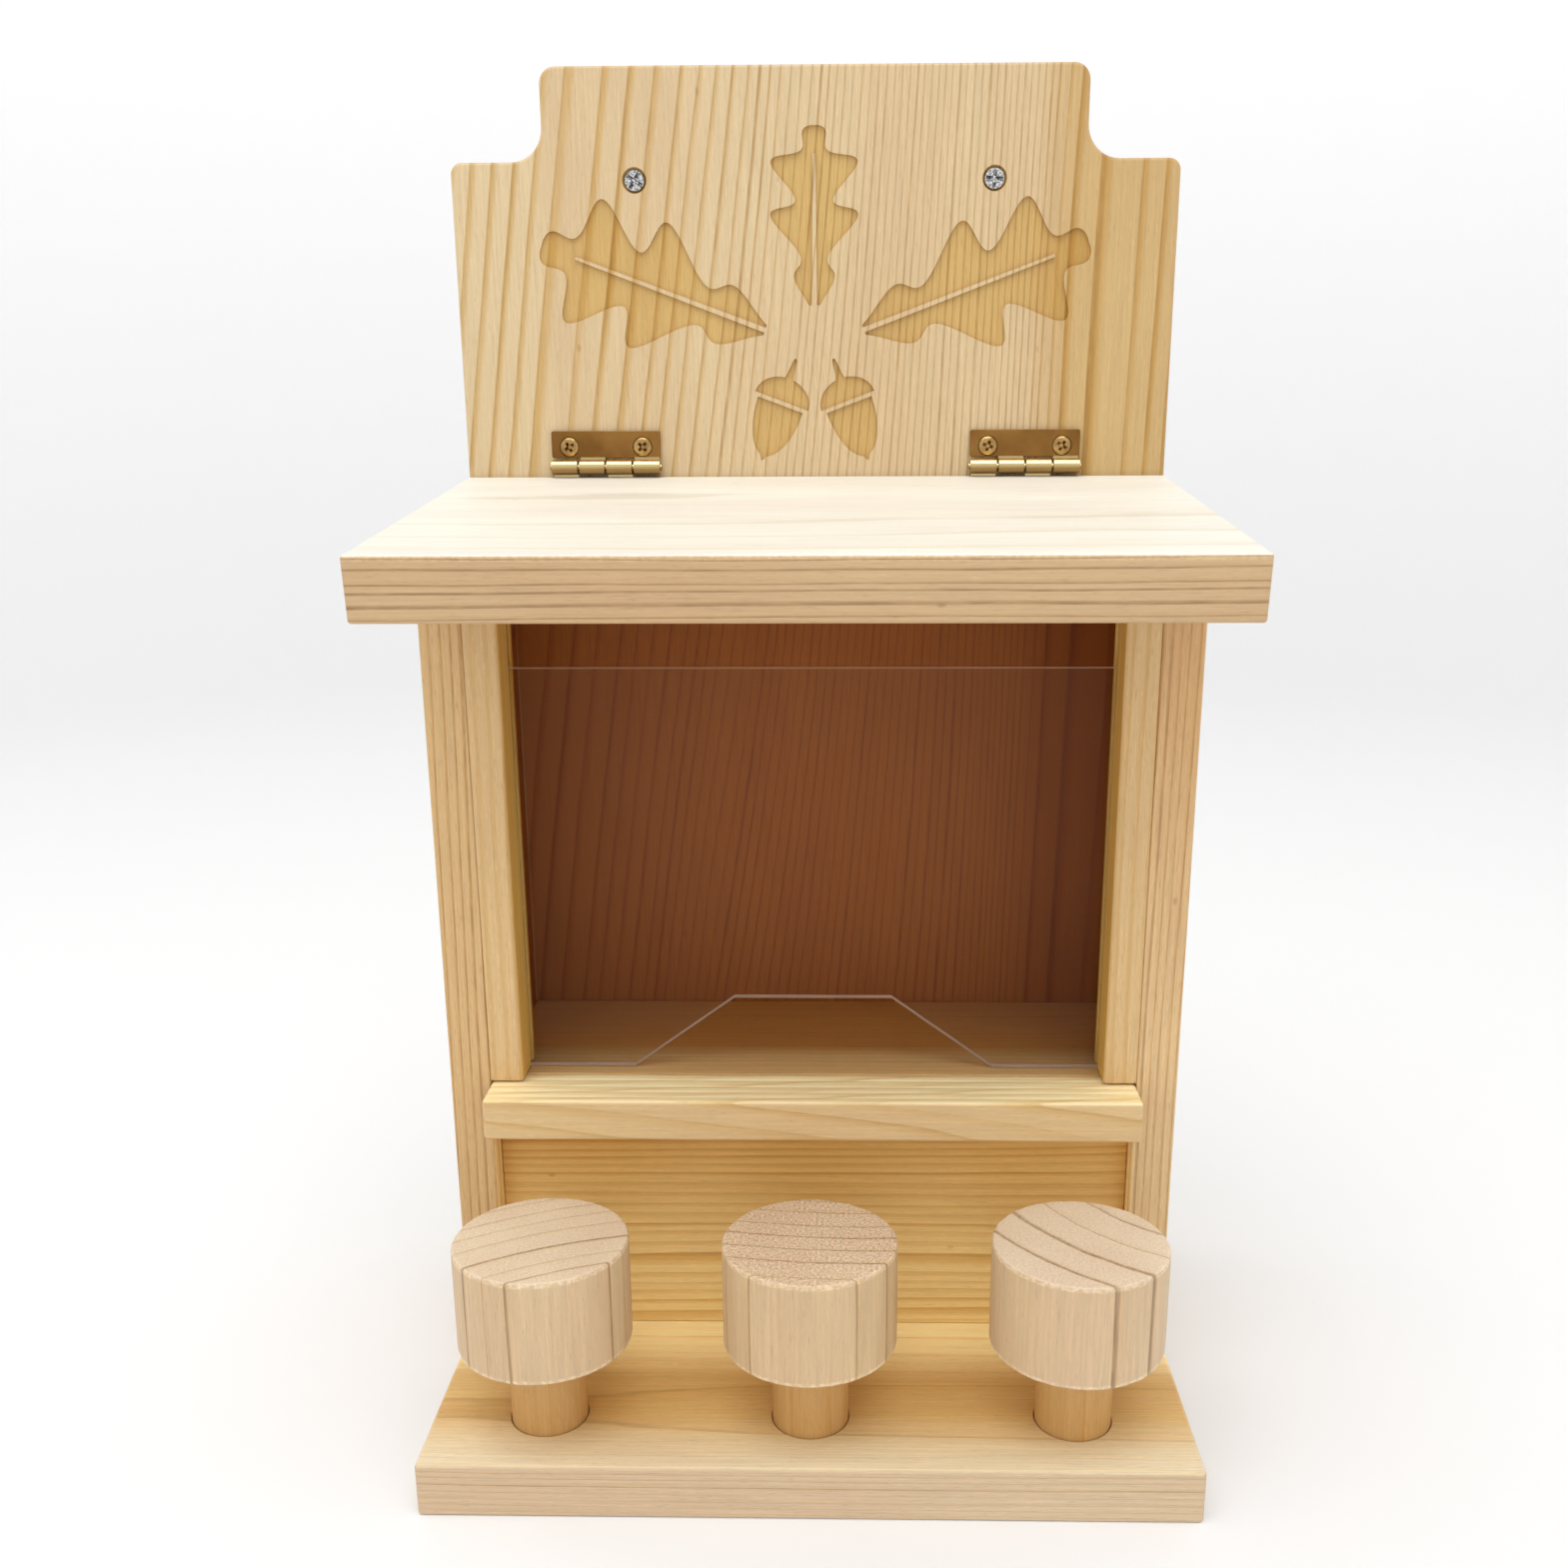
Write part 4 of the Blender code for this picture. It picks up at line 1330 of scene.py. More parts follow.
@dataclass
class NutBox(Assembly):
    """Walls, guide strips, floor, counter bar and the panel that closes the space below."""

    arris: float = 0.0006
    strip_arris: float = 0.0009
    counter_arris: float = 0.0009
    slide_gap: float = 0.0003
    snug: float = 0.0003
    seam_arris: float = 0.0004
    kerf_mouth: float = 0.00025
    kerf_corner: float = 0.0002
    groove_depth: float = 0.00016
    groove_width: float = 0.00055
    groove_shares: tuple[float, ...] = (0.17, 0.36, 0.55, 0.78)
    counter_points: int = 90

    def upright(self, node: str, corners: np.ndarray, radii: list[float]) -> Mesh:
        """Carry a plan outline up to the lid, with level feet and upper ends on the lid's slope.

        A point is lifted by the slope times its distance from the front, and by its share of height.

        Args:
            node: The CAD node that it follows.
            corners: Corners in plan, anticlockwise.
            radii: Radius of each corner.

        Returns:
            The mesh.
        """
        low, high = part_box(node)
        top = high.z - (high.y - low.y) * math.tan(LID_SLOPE)
        rings = plate_rings(rounded_outline(corners, radii, steps=4), low.z, top, self.arris)
        share = (rings[..., 2] - low.z) / (rings[..., 2].max() - low.z)
        rings[..., 2] += (rings[..., 1] - low.y) * math.tan(LID_SLOPE) * share
        return loft(node, rings)

    def wall(self, side: str) -> Mesh:
        """One side of the box, its arrises sharper where it meets other boards.

        Args:
            side: left or right.

        Returns:
            The mesh.
        """
        low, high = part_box("side_wall_" + side)
        inner, outer = self.seam_arris, self.arris
        radii = [outer, inner, inner, outer] if side == "left" else [inner, outer, outer, inner]
        return self.upright("side_wall_" + side, box_corners((low.x, low.y), (high.x, high.y)), radii)

    def strip(self, side: str) -> Mesh:
        """One guide strip, with the saw kerf that the clear panel slides in.

        Args:
            side: left or right.

        Returns:
            The mesh.
        """
        node = "guide_strip_" + side
        low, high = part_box(node)
        panel_low, panel_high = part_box("clear_panel")
        front, rear = panel_low.y - self.slide_gap, panel_high.y + self.slide_gap
        reach = panel_high.x + self.slide_gap
        inner, outer = min(abs(low.x), abs(high.x)), max(abs(low.x), abs(high.x)) + self.snug
        corners = [(inner, low.y), (outer, low.y), (outer, high.y), (inner, high.y)]
        corners += [(inner, rear), (reach, rear), (reach, front), (inner, front)]
        radii = [self.strip_arris, self.seam_arris, self.seam_arris, self.arris]
        radii += [self.kerf_mouth, self.kerf_corner, self.kerf_corner, self.kerf_mouth]
        points = np.array(corners)
        if side == "left":
            points = (points * (-1, 1))[::-1]
            radii = radii[::-1]
        return self.upright(node, points, radii)

    def counter_outline(self) -> np.ndarray:
        """Side view of the counter bar, its top worn into grooves between the harder rings.

        The top lies below the bar's full height by a sum of bell curves, one for each groove.

        Returns:
            Points of the outline, anticlockwise.
        """
        low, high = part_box("counter_bar")
        outline = box_outline((low.y, low.z), (high.y, high.z), self.counter_arris)
        first, last = high.y - self.counter_arris, low.y + self.counter_arris
        across = np.linspace(first, last, self.counter_points)[1:-1]
        depth = np.zeros_like(across)
        for share in self.groove_shares:
            middle = low.y + share * (high.y - low.y)
            depth += self.groove_depth * np.exp(-(((across - middle) / self.groove_width) ** 2))
        top = np.stack([across, high.z - depth], axis=1)
        # The top edge lies between the arcs of the third corner and the fourth
        after = 3 * (len(outline) // 4)
        return np.concatenate([outline[:after], top, outline[after:]])

    def slab(self, node: str, plane: Plane, arris: float) -> Mesh:
        """A plain board with its arrises rounded.

        Args:
            node: The CAD node that it follows.
            plane: The plane of its outline.
            arris: Radius of the arrises.

        Returns:
            The mesh.
        """
        low, high = (np.array(corner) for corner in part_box(node))
        low[0] -= self.snug
        high[0] += self.snug
        low[2] -= self.snug * (plane is Plane.FRONT)
        first, second, through = plane.value
        outline = box_outline((low[first], low[second]), (high[first], high[second]), arris)
        return loft(node, stood(plate_rings(outline, low[through], high[through], arris), plane))

    def build(self, finishes: dict[str, Material]) -> None:
        """Make the boards of the box.

        Args:
            finishes: Materials by name.
        """
        for side in SIDES:
            self.keep("side_wall_" + side, self.wall(side), finishes["pine_side_" + side], "pine_side")
            self.keep("guide_strip_" + side, self.strip(side), finishes["pine_strip"], "pine_strip")
        floor = self.slab("hopper_floor", Plane.TOP, self.arris)
        self.keep("hopper_floor", floor, finishes["pine_floor"], "pine_floor")
        front = self.slab("lower_front_panel", Plane.FRONT, self.arris)
        self.keep("lower_front_panel", front, finishes["pine_front"], "pine_front")
        low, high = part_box("counter_bar")
        rings = plate_rings(self.counter_outline(), low.x - self.snug, high.x + self.snug, self.counter_arris)
        bar = loft("counter_bar", stood(rings, Plane.SIDE))
        self.keep("counter_bar", bar, finishes["pine_counter"], "pine_counter")


@dataclass
class BaseBoard(Assembly):
    """The board that the feeder stands on."""

    arris: float = 0.0008
    socket_depth: float = 0.0080
    chamfer: float = 0.0004

    def build(self, finish: Material, posts: list[str], screws: list[Screw]) -> None:
        """Make the board, with a socket for each post and a hole for each screw.

        Args:
            finish: Its material.
            posts: Names of the posts.
            screws: The screws that pass through it.
        """
        low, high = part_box("base_board")
        outline = box_outline((low.x, low.y), (high.x, high.y), self.arris)
        plain = loft("base_board", plate_rings(outline, low.z, high.z, self.arris, steps=6))
        plain.materials.append(finish)
        cutters = [screw.hole() for screw in screws]
        half = self.chamfer / 2
        for post in posts:
            middle, radius = upright_axis(post)
            radius += POST_GAP
            profile = [(radius, -self.socket_depth), (radius, -half), (radius + self.chamfer, half)]
            rings = turned_rings(np.array(profile) + (0.0, high.z), DOWEL_POINTS)
            cutters.append(loft(post + "_socket", rings + middle))
        self.keep("base_board", carved("base_board", plain, cutters), finish, "pine_base")


@dataclass
class Lid(Assembly):
    """The sloping lid, let in at its rear edge for the hinge leaves."""

    thickness: float = 0.0120
    arris: float = 0.0006
    leaf_gap: float = 0.0003
    mortise_depth: float = 0.0012
    mortise_corner: float = 0.0003

    def mortise(self, side: str, top: float) -> Mesh:
        """The shallow recess in the rear edge that a hinge leaf and its knuckles lie in.

        Args:
            side: left or right.
            top: Height of the lid's rear arris.

        Returns:
            A closed cutter.
        """
        low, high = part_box(f"hinge_{side}_lid_leaf")
        above = top + (high.z - low.z) / 2
        foot, head = (low.x - self.leaf_gap, low.z - self.leaf_gap), (high.x + self.leaf_gap, above)
        outline = box_outline(foot, head, self.mortise_corner)
        return block("mortise_" + side, outline, high.y - self.mortise_depth, high.y + CUT_OVERRUN)

    def build(self, finish: Material) -> None:
        """Make the lid.

        Args:
            finish: Its material.
        """
        low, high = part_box("lid_board")
        front = high.z - (high.y - low.y) * math.tan(LID_SLOPE)
        lean = self.thickness * math.sin(LID_SLOPE)
        fall = self.thickness * math.cos(LID_SLOPE)
        rear_low = high.z - self.thickness / math.cos(LID_SLOPE)
        corners = [(low.y, front), (low.y + lean, front - fall), (high.y, rear_low), (high.y, high.z)]
        outline = rounded_outline(np.array(corners), self.arris, steps=6)
        plain = loft("lid_board", stood(plate_rings(outline, low.x, high.x, self.arris, steps=5), Plane.SIDE))
        plain.materials.append(finish)
        mesh = carved("lid_board", plain, [self.mortise(side, high.z) for side in SIDES])
        self.keep("lid_board", mesh, finish, "pine_lid", Body.LID)


# Stools


@dataclass
class Stool(Assembly):
    """A round seat, sawn across the grain, on a dowel."""

    side: str
    seed: int
    arris: float = 0.0005
    chip: float = 0.00016
    chip_height: float = 0.0005
    chip_waves: tuple[int, int] = (3, 46)
    chip_mean: float = 0.6
    wave_weights: Pair = (0.3, 1.0)
    edge_share: float = 0.95
    socket: float = 0.0120
    face_shares: tuple[float, ...] = (0.25, 0.5, 0.75, 0.93)
    arris_rings: int = 5
    side_rings: int = 8
    post_rings: int = 6
    points: int = 192

    def ragged(self, turn: np.ndarray) -> np.ndarray:
        """How the saw chipped the seat's rim: a sum of waves of many lengths round the circle.

        Args:
            turn: Angles round the seat.

        Returns:
            One value for each angle, about -1 to 1.
        """
        source = np.random.default_rng(self.seed)
        counts = np.arange(*self.chip_waves)
        phases = source.uniform(0, 2 * np.pi, len(counts))
        weights = source.uniform(*self.wave_weights, len(counts)) / np.sqrt(len(counts))
        return np.sum(weights[:, None] * np.cos(counts[:, None] * turn[None] + phases[:, None]), axis=0)

    def seat(self) -> Mesh:
        """The seat: a turned profile with chipped rims, and a socket for the post.

        The chips fade away from either rim with an exponential curve of the height.

        Returns:
            The mesh.
        """
        low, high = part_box("stool_seat_" + self.side)
        middle, radius = upright_axis("stool_seat_" + self.side)
        turn = np.linspace(0, np.pi / 2, self.arris_rings)
        inset, rise = self.arris * (1 - np.sin(turn)), self.arris * (1 - np.cos(turn))
        under = np.array([(radius * share, low.z) for share in self.face_shares])
        lower = np.concatenate([under, np.stack([radius - inset, low.z + rise], axis=1)])
        walls = np.array([(radius, height) for height in np.linspace(low.z, high.z, self.side_rings)[1:-1]])
        profile = np.concatenate([lower, walls, mirrored(lower, low.z, high.z)])
        rings = turned_rings(profile, self.points)
        angles = np.arange(self.points) * 2 * np.pi / self.points
        edge = sum(np.exp(-np.abs(profile[:, 1] - rim) / self.chip_height) for rim in (high.z, low.z))
        edge *= profile[:, 0] > radius * self.edge_share
        chips = self.chip_mean + self.chip_mean * self.ragged(angles)[None]
        wear = 1 - (self.chip / radius) * edge[:, None] * chips
        rings[..., :2] *= np.minimum(wear, 1.0)[..., None]
        bore = upright_axis("stool_post_" + self.side)[1] + POST_GAP
        socket = np.array([(bore, low.z - CUT_OVERRUN), (bore, low.z + self.socket)])
        hole = loft("hole", turned_rings(socket, DOWEL_POINTS) + middle)
        return carved("stool_seat_" + self.side, loft("seat", rings + middle), [hole])

    def post(self) -> Mesh:
        """The dowel, with eased ends.

        Returns:
            The mesh.
        """
        low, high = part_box("stool_post_" + self.side)
        middle, radius = upright_axis("stool_post_" + self.side)
        profile = [(radius - self.arris, low.z), (radius, low.z + self.arris)]
        profile += [(radius, height) for height in np.linspace(low.z, high.z, self.post_rings)[1:-1]]
        profile += [(radius, high.z - self.arris), (radius - self.arris, high.z)]
        return loft("stool_post_" + self.side, turned_rings(np.array(profile), DOWEL_POINTS) + middle)

    def build(self, seat_finish: Material, post_finish: Material) -> None:
        """Make the stool out of the materials of its seat and its post."""
        self.keep("stool_seat_" + self.side, self.seat(), seat_finish, "pine_seat")
        self.keep("stool_post_" + self.side, self.post(), post_finish, "pine_post")


# Hinges


@dataclass
class Hinge(Assembly):
    """A brass butt hinge: two leaves rolled round a pin."""

    side: str
    sheet: float = 0.0009
    knuckles: int = 4
    gap: float = 0.0004
    corner: float = 0.0005
    arris: float = 0.00015
    slit: float = math.radians(7)
    barrel_share: float = 1.03
    pin_dome: float = 0.0003
    pin_start: float = 0.08
    dome_rings: int = 6
    pin_points: int = 32

    def __post_init__(self) -> None:
        """Read the barrel's axis, radius and length off the CAD nodes."""
        pin_low, pin_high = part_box(f"hinge_{self.side}_pin")
        low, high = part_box(f"hinge_{self.side}_board_leaf")
        self.axis = (pin_low + pin_high) / 2
        self.radius = self.axis.y - low.y
        self.left = min(low.x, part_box(f"hinge_{self.side}_lid_leaf")[0].x)
        self.right = self.left + 2 * (self.axis.x - self.left)
        self.reach = high.z - self.axis.z
        self.pin_radius = (pin_high.y - pin_low.y) / 2

    def roll(self, steps: int = 40) -> np.ndarray:
        """Side view of a sheet that comes down, rolls round the pin and stops short of itself.

        Args:
            steps: Points of each arc.

        Returns:
            Points of y and height from the pin, anticlockwise.
        """
        inner = self.radius - self.sheet
        turn = np.linspace(math.acos(inner / self.radius) + self.slit, 2 * np.pi, steps)
        arc = np.stack([np.cos(turn), np.sin(turn)], axis=1)
        leg = self.radius + self.gap + 2 * self.sheet
        return np.concatenate([self.radius * arc, [(self.radius, leg), (inner, leg)], inner * arc[::-1]])

    def leaf(self, up: int, first: int, screws: list[Screw]) -> Mesh:
        """A leaf with its own knuckles.

        Args:
            up: 1 for the leaf that stands up, -1 for the one that hangs down.
            first: 0 or 1, the first of its knuckles from the left.
            screws: The screws that hold it.

        Returns:
            The mesh.
        """
        back = self.axis.y + self.radius
        outline = box_outline((self.left, self.radius + self.gap), (self.right, self.reach), self.corner)
        rings = stood(plate_rings(outline, back - self.sheet, back, self.arris), Plane.FRONT)
        rings[..., 2] = self.axis.z + up * rings[..., 2]
        flat = loft("leaf", rings)
        pitch = (self.right - self.left) / self.knuckles
        rolled = []
        for index in range(first, self.knuckles, 2):
            low = self.left + index * pitch + (self.gap / 2 if index else 0)
            high = self.left + (index + 1) * pitch - (self.gap / 2 if index < self.knuckles - 1 else 0)
            rings = stood(plate_rings(self.roll(), low, high, self.arris, steps=3), Plane.SIDE)
            rings[..., 1] += self.axis.y
            rings[..., 2] = self.axis.z + up * rings[..., 2]
            rolled.append(loft("knuckle", rings))
        whole = carved("leaf", flat, rolled, "UNION")
        return carved("leaf", whole, [screw.hole() for screw in screws])

    def pin(self) -> Mesh:
        """The pin, its ends domed by a quarter turn each.

        Returns:
            The mesh.
        """
        low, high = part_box(f"hinge_{self.side}_pin")
        turn = np.linspace(self.pin_start, np.pi / 2, self.dome_rings)
        dome = low.x + self.pin_dome * (1 - np.cos(turn))
        near = np.stack([self.pin_radius * np.sin(turn), dome], axis=1)
        rings = turned_rings(np.concatenate([near, mirrored(near, low.x, high.x)]), self.pin_points)
        return loft("pin", stood(rings, Plane.SIDE) + np.array([0.0, self.axis.y, self.axis.z]))

    def build(self, finishes: dict[str, Material], screws: dict[str, list[Screw]]) -> None:
        """Make both leaves and the pin. The faces near the pin have the barrel's polish; the rest have a
        rougher, darker copy of the same brass, the darkness a painted reflection.

        Args:
            finishes: Materials by name.
            screws: The screws of the board leaf and of the lid leaf, by name.
        """
        leaf, barrel = finishes["brass_leaf_painted_dark"], finishes["brass_barrel"]
        for name, up, first, body in (("board", 1, 1, Body.FEEDER), ("lid", -1, 0, Body.LID)):
            mesh = self.leaf(up, first, screws[name])
            away = np.linalg.norm(face_rows(mesh, "center")[:, 1:] - (self.axis.y, self.axis.z), axis=1)
            dress(mesh, leaf, barrel, away < self.radius * self.barrel_share)
            self.keep(f"hinge_{self.side}_{name}_leaf", mesh, leaf, "brass", body)
        self.keep(f"hinge_{self.side}_pin", self.pin(), barrel, "brass")


@dataclass
class ClearPanel(Assembly):
    """The clear front, with the feeding notch sawn out of its lower edge."""

    notch_top: float = 0.0175
    notch_foot: float = 0.0403
    notch_height: float = 0.0165
    corner: float = 0.0006
    arris: float = 0.00015
    edge_facing: float = 0.6

    def build(self, clear: Material, sawn: Material) -> None:
        """Make the panel, clear on its faces and frosted on its edges.

        Args:
            clear: Material of the faces.
            sawn: Material of the edges.
        """
        low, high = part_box("clear_panel")
        step = low.z + self.notch_height
        right = [(self.notch_top, step), (self.notch_foot, low.z), (high.x, low.z), (high.x, high.z)]
        corners = np.array([(-x, z) for x, z in reversed(right)] + right)
        outline = rounded_outline(corners, self.corner, steps=4)
        rings = plate_rings(outline, low.y, high.y, self.arris, steps=3)
        mesh = loft("clear_panel", stood(rings, Plane.FRONT))
        dress(mesh, clear, sawn, np.abs(face_rows(mesh, "normal")[:, 1]) < self.edge_facing)
        self.keep("clear_panel", mesh, clear, "acrylic", Body.CLEAR_FRONT)


# Studio


@dataclass
class Studio:
    """A pale sweep, a soft lamp and the camera."""

    camera_place: Place = (0.00717, -0.31541, 0.21144)
    pitch: float = math.radians(15.97)
    yaw: float = math.radians(-1.19)
    roll: float = math.radians(-0.21)
    focal_pixels: float = 1539.27
    centre_pixels: Pair = (815.16, 880.06)
    nearest: float = 0.01
    floor_radius: float = 1.1
    middle_radius: float = 0.001
    sweep_radius: float = 0.7
    sweep_rings: int = 24
    sweep_points: int = 96
    wall_height: float = 2.2
    sweep_tone: Colour = (0.80, 0.80, 0.80)
    sweep_roughness: float = 0.8
    sweep_glow: Pair = (0.08, 0.34)
    lamp_place: Place = (-0.1, -0.35, 1.40)
    lamp_size: Pair = (1.4, 1.1)
    lamp_watts: float = 13.5
    lamp_aim: Place = (0.0, 0.0, 0.13)
    air_light: float = 0.40

    def build_floor(self) -> None:
        """Make the sweep: a flat disc whose rim bends up through a quarter circle into a wall.

        It glows more the higher it is, up to a metre.
        """
        turn = np.linspace(0, np.pi / 2, self.sweep_rings)
        across = self.floor_radius + self.sweep_radius * np.sin(turn)
        bend = np.stack([across, self.sweep_radius * (1 - np.cos(turn))], axis=1)
        flat = [(self.middle_radius, 0.0), (self.floor_radius * 0.5, 0.0)]
        profile = np.concatenate([flat, bend, [(bend[-1, 0], self.wall_height)]])
        rings = turned_rings(profile, self.sweep_points)
        index, quads = skin(rings)
        mesh = bpy.data.meshes.new("sweep")
        mesh.from_pydata(rings.reshape(-1, 3), [], quads + [index[0].tolist()])
        mesh.shade_smooth()
        bench = Bench("pale_sweep")
        glow = bench.spread(bench.split(bench.coordinates["Object"])["Z"], 0.0, 1.0, self.sweep_glow)
        bench.set(Base_Color=self.sweep_tone, Roughness=self.sweep_roughness)
        bench.set(Emission_Color=WHITE, Emission_Strength=glow)
        mesh.materials.append(bench.material)
        floor = in_scene("studio_floor", mesh)

    def build_lights(self) -> None:
        """Hang a soft box that looks at the middle of the feeder, and set the world's own light."""
        world = bpy.data.worlds.new("studio_air")
        world.use_nodes = True
        air = world.node_tree.nodes["Background"]
        air.inputs["Color"].default_value = (*WHITE, 1.0)
        air.inputs["Strength"].default_value = self.air_light
        bpy.context.scene.world = world
        light = bpy.data.lights.new("top_box", "AREA")
        light.shape = "RECTANGLE"
        light.size, light.size_y = self.lamp_size
        light.energy = self.lamp_watts
        aim = Vector(self.lamp_aim) - Vector(self.lamp_place)
        turn = aim.to_track_quat("-Z", "Y").to_matrix().to_4x4()
        in_scene("top_box", light).matrix_world = Matrix.Translation(self.lamp_place) @ turn

    def build_camera(self) -> None:
        """Set the camera where the photograph was taken.

        The shift puts the optical axis off the picture's middle, at the point that was measured.
        """
        sin_p, cos_p = math.sin(self.pitch), math.cos(self.pitch)
        sin_y, cos_y = math.sin(self.yaw), math.cos(self.yaw)
        ahead = Vector((sin_y * cos_p, cos_y * cos_p, -sin_p))
        level = Vector((cos_y, -sin_y, 0.0))
        above = Vector((sin_y * sin_p, cos_y * sin_p, cos_p))
        right = level * math.cos(self.roll) + above * math.sin(self.roll)
        up = above * math.cos(self.roll) - level * math.sin(self.roll)
        data = bpy.data.cameras.new("camera")
        data.sensor_width = SENSOR_MM
        data.lens = self.focal_pixels / FRAME_PIXELS * SENSOR_MM
        data.shift_x = 0.5 - self.centre_pixels[0] / FRAME_PIXELS
        data.shift_y = self.centre_pixels[1] / FRAME_PIXELS - 0.5
        data.clip_start = self.nearest
        camera = in_scene("camera", data)
        turn = Matrix((right, up, -ahead)).transposed().to_4x4()
        camera.matrix_world = Matrix.Translation(self.camera_place) @ turn
        bpy.context.scene.camera = camera

    def build(self) -> None:
        """Set up the whole studio."""
        bpy.context.scene.view_settings.view_transform = "Standard"
        self.build_floor()
        self.build_lights()
        self.build_camera()


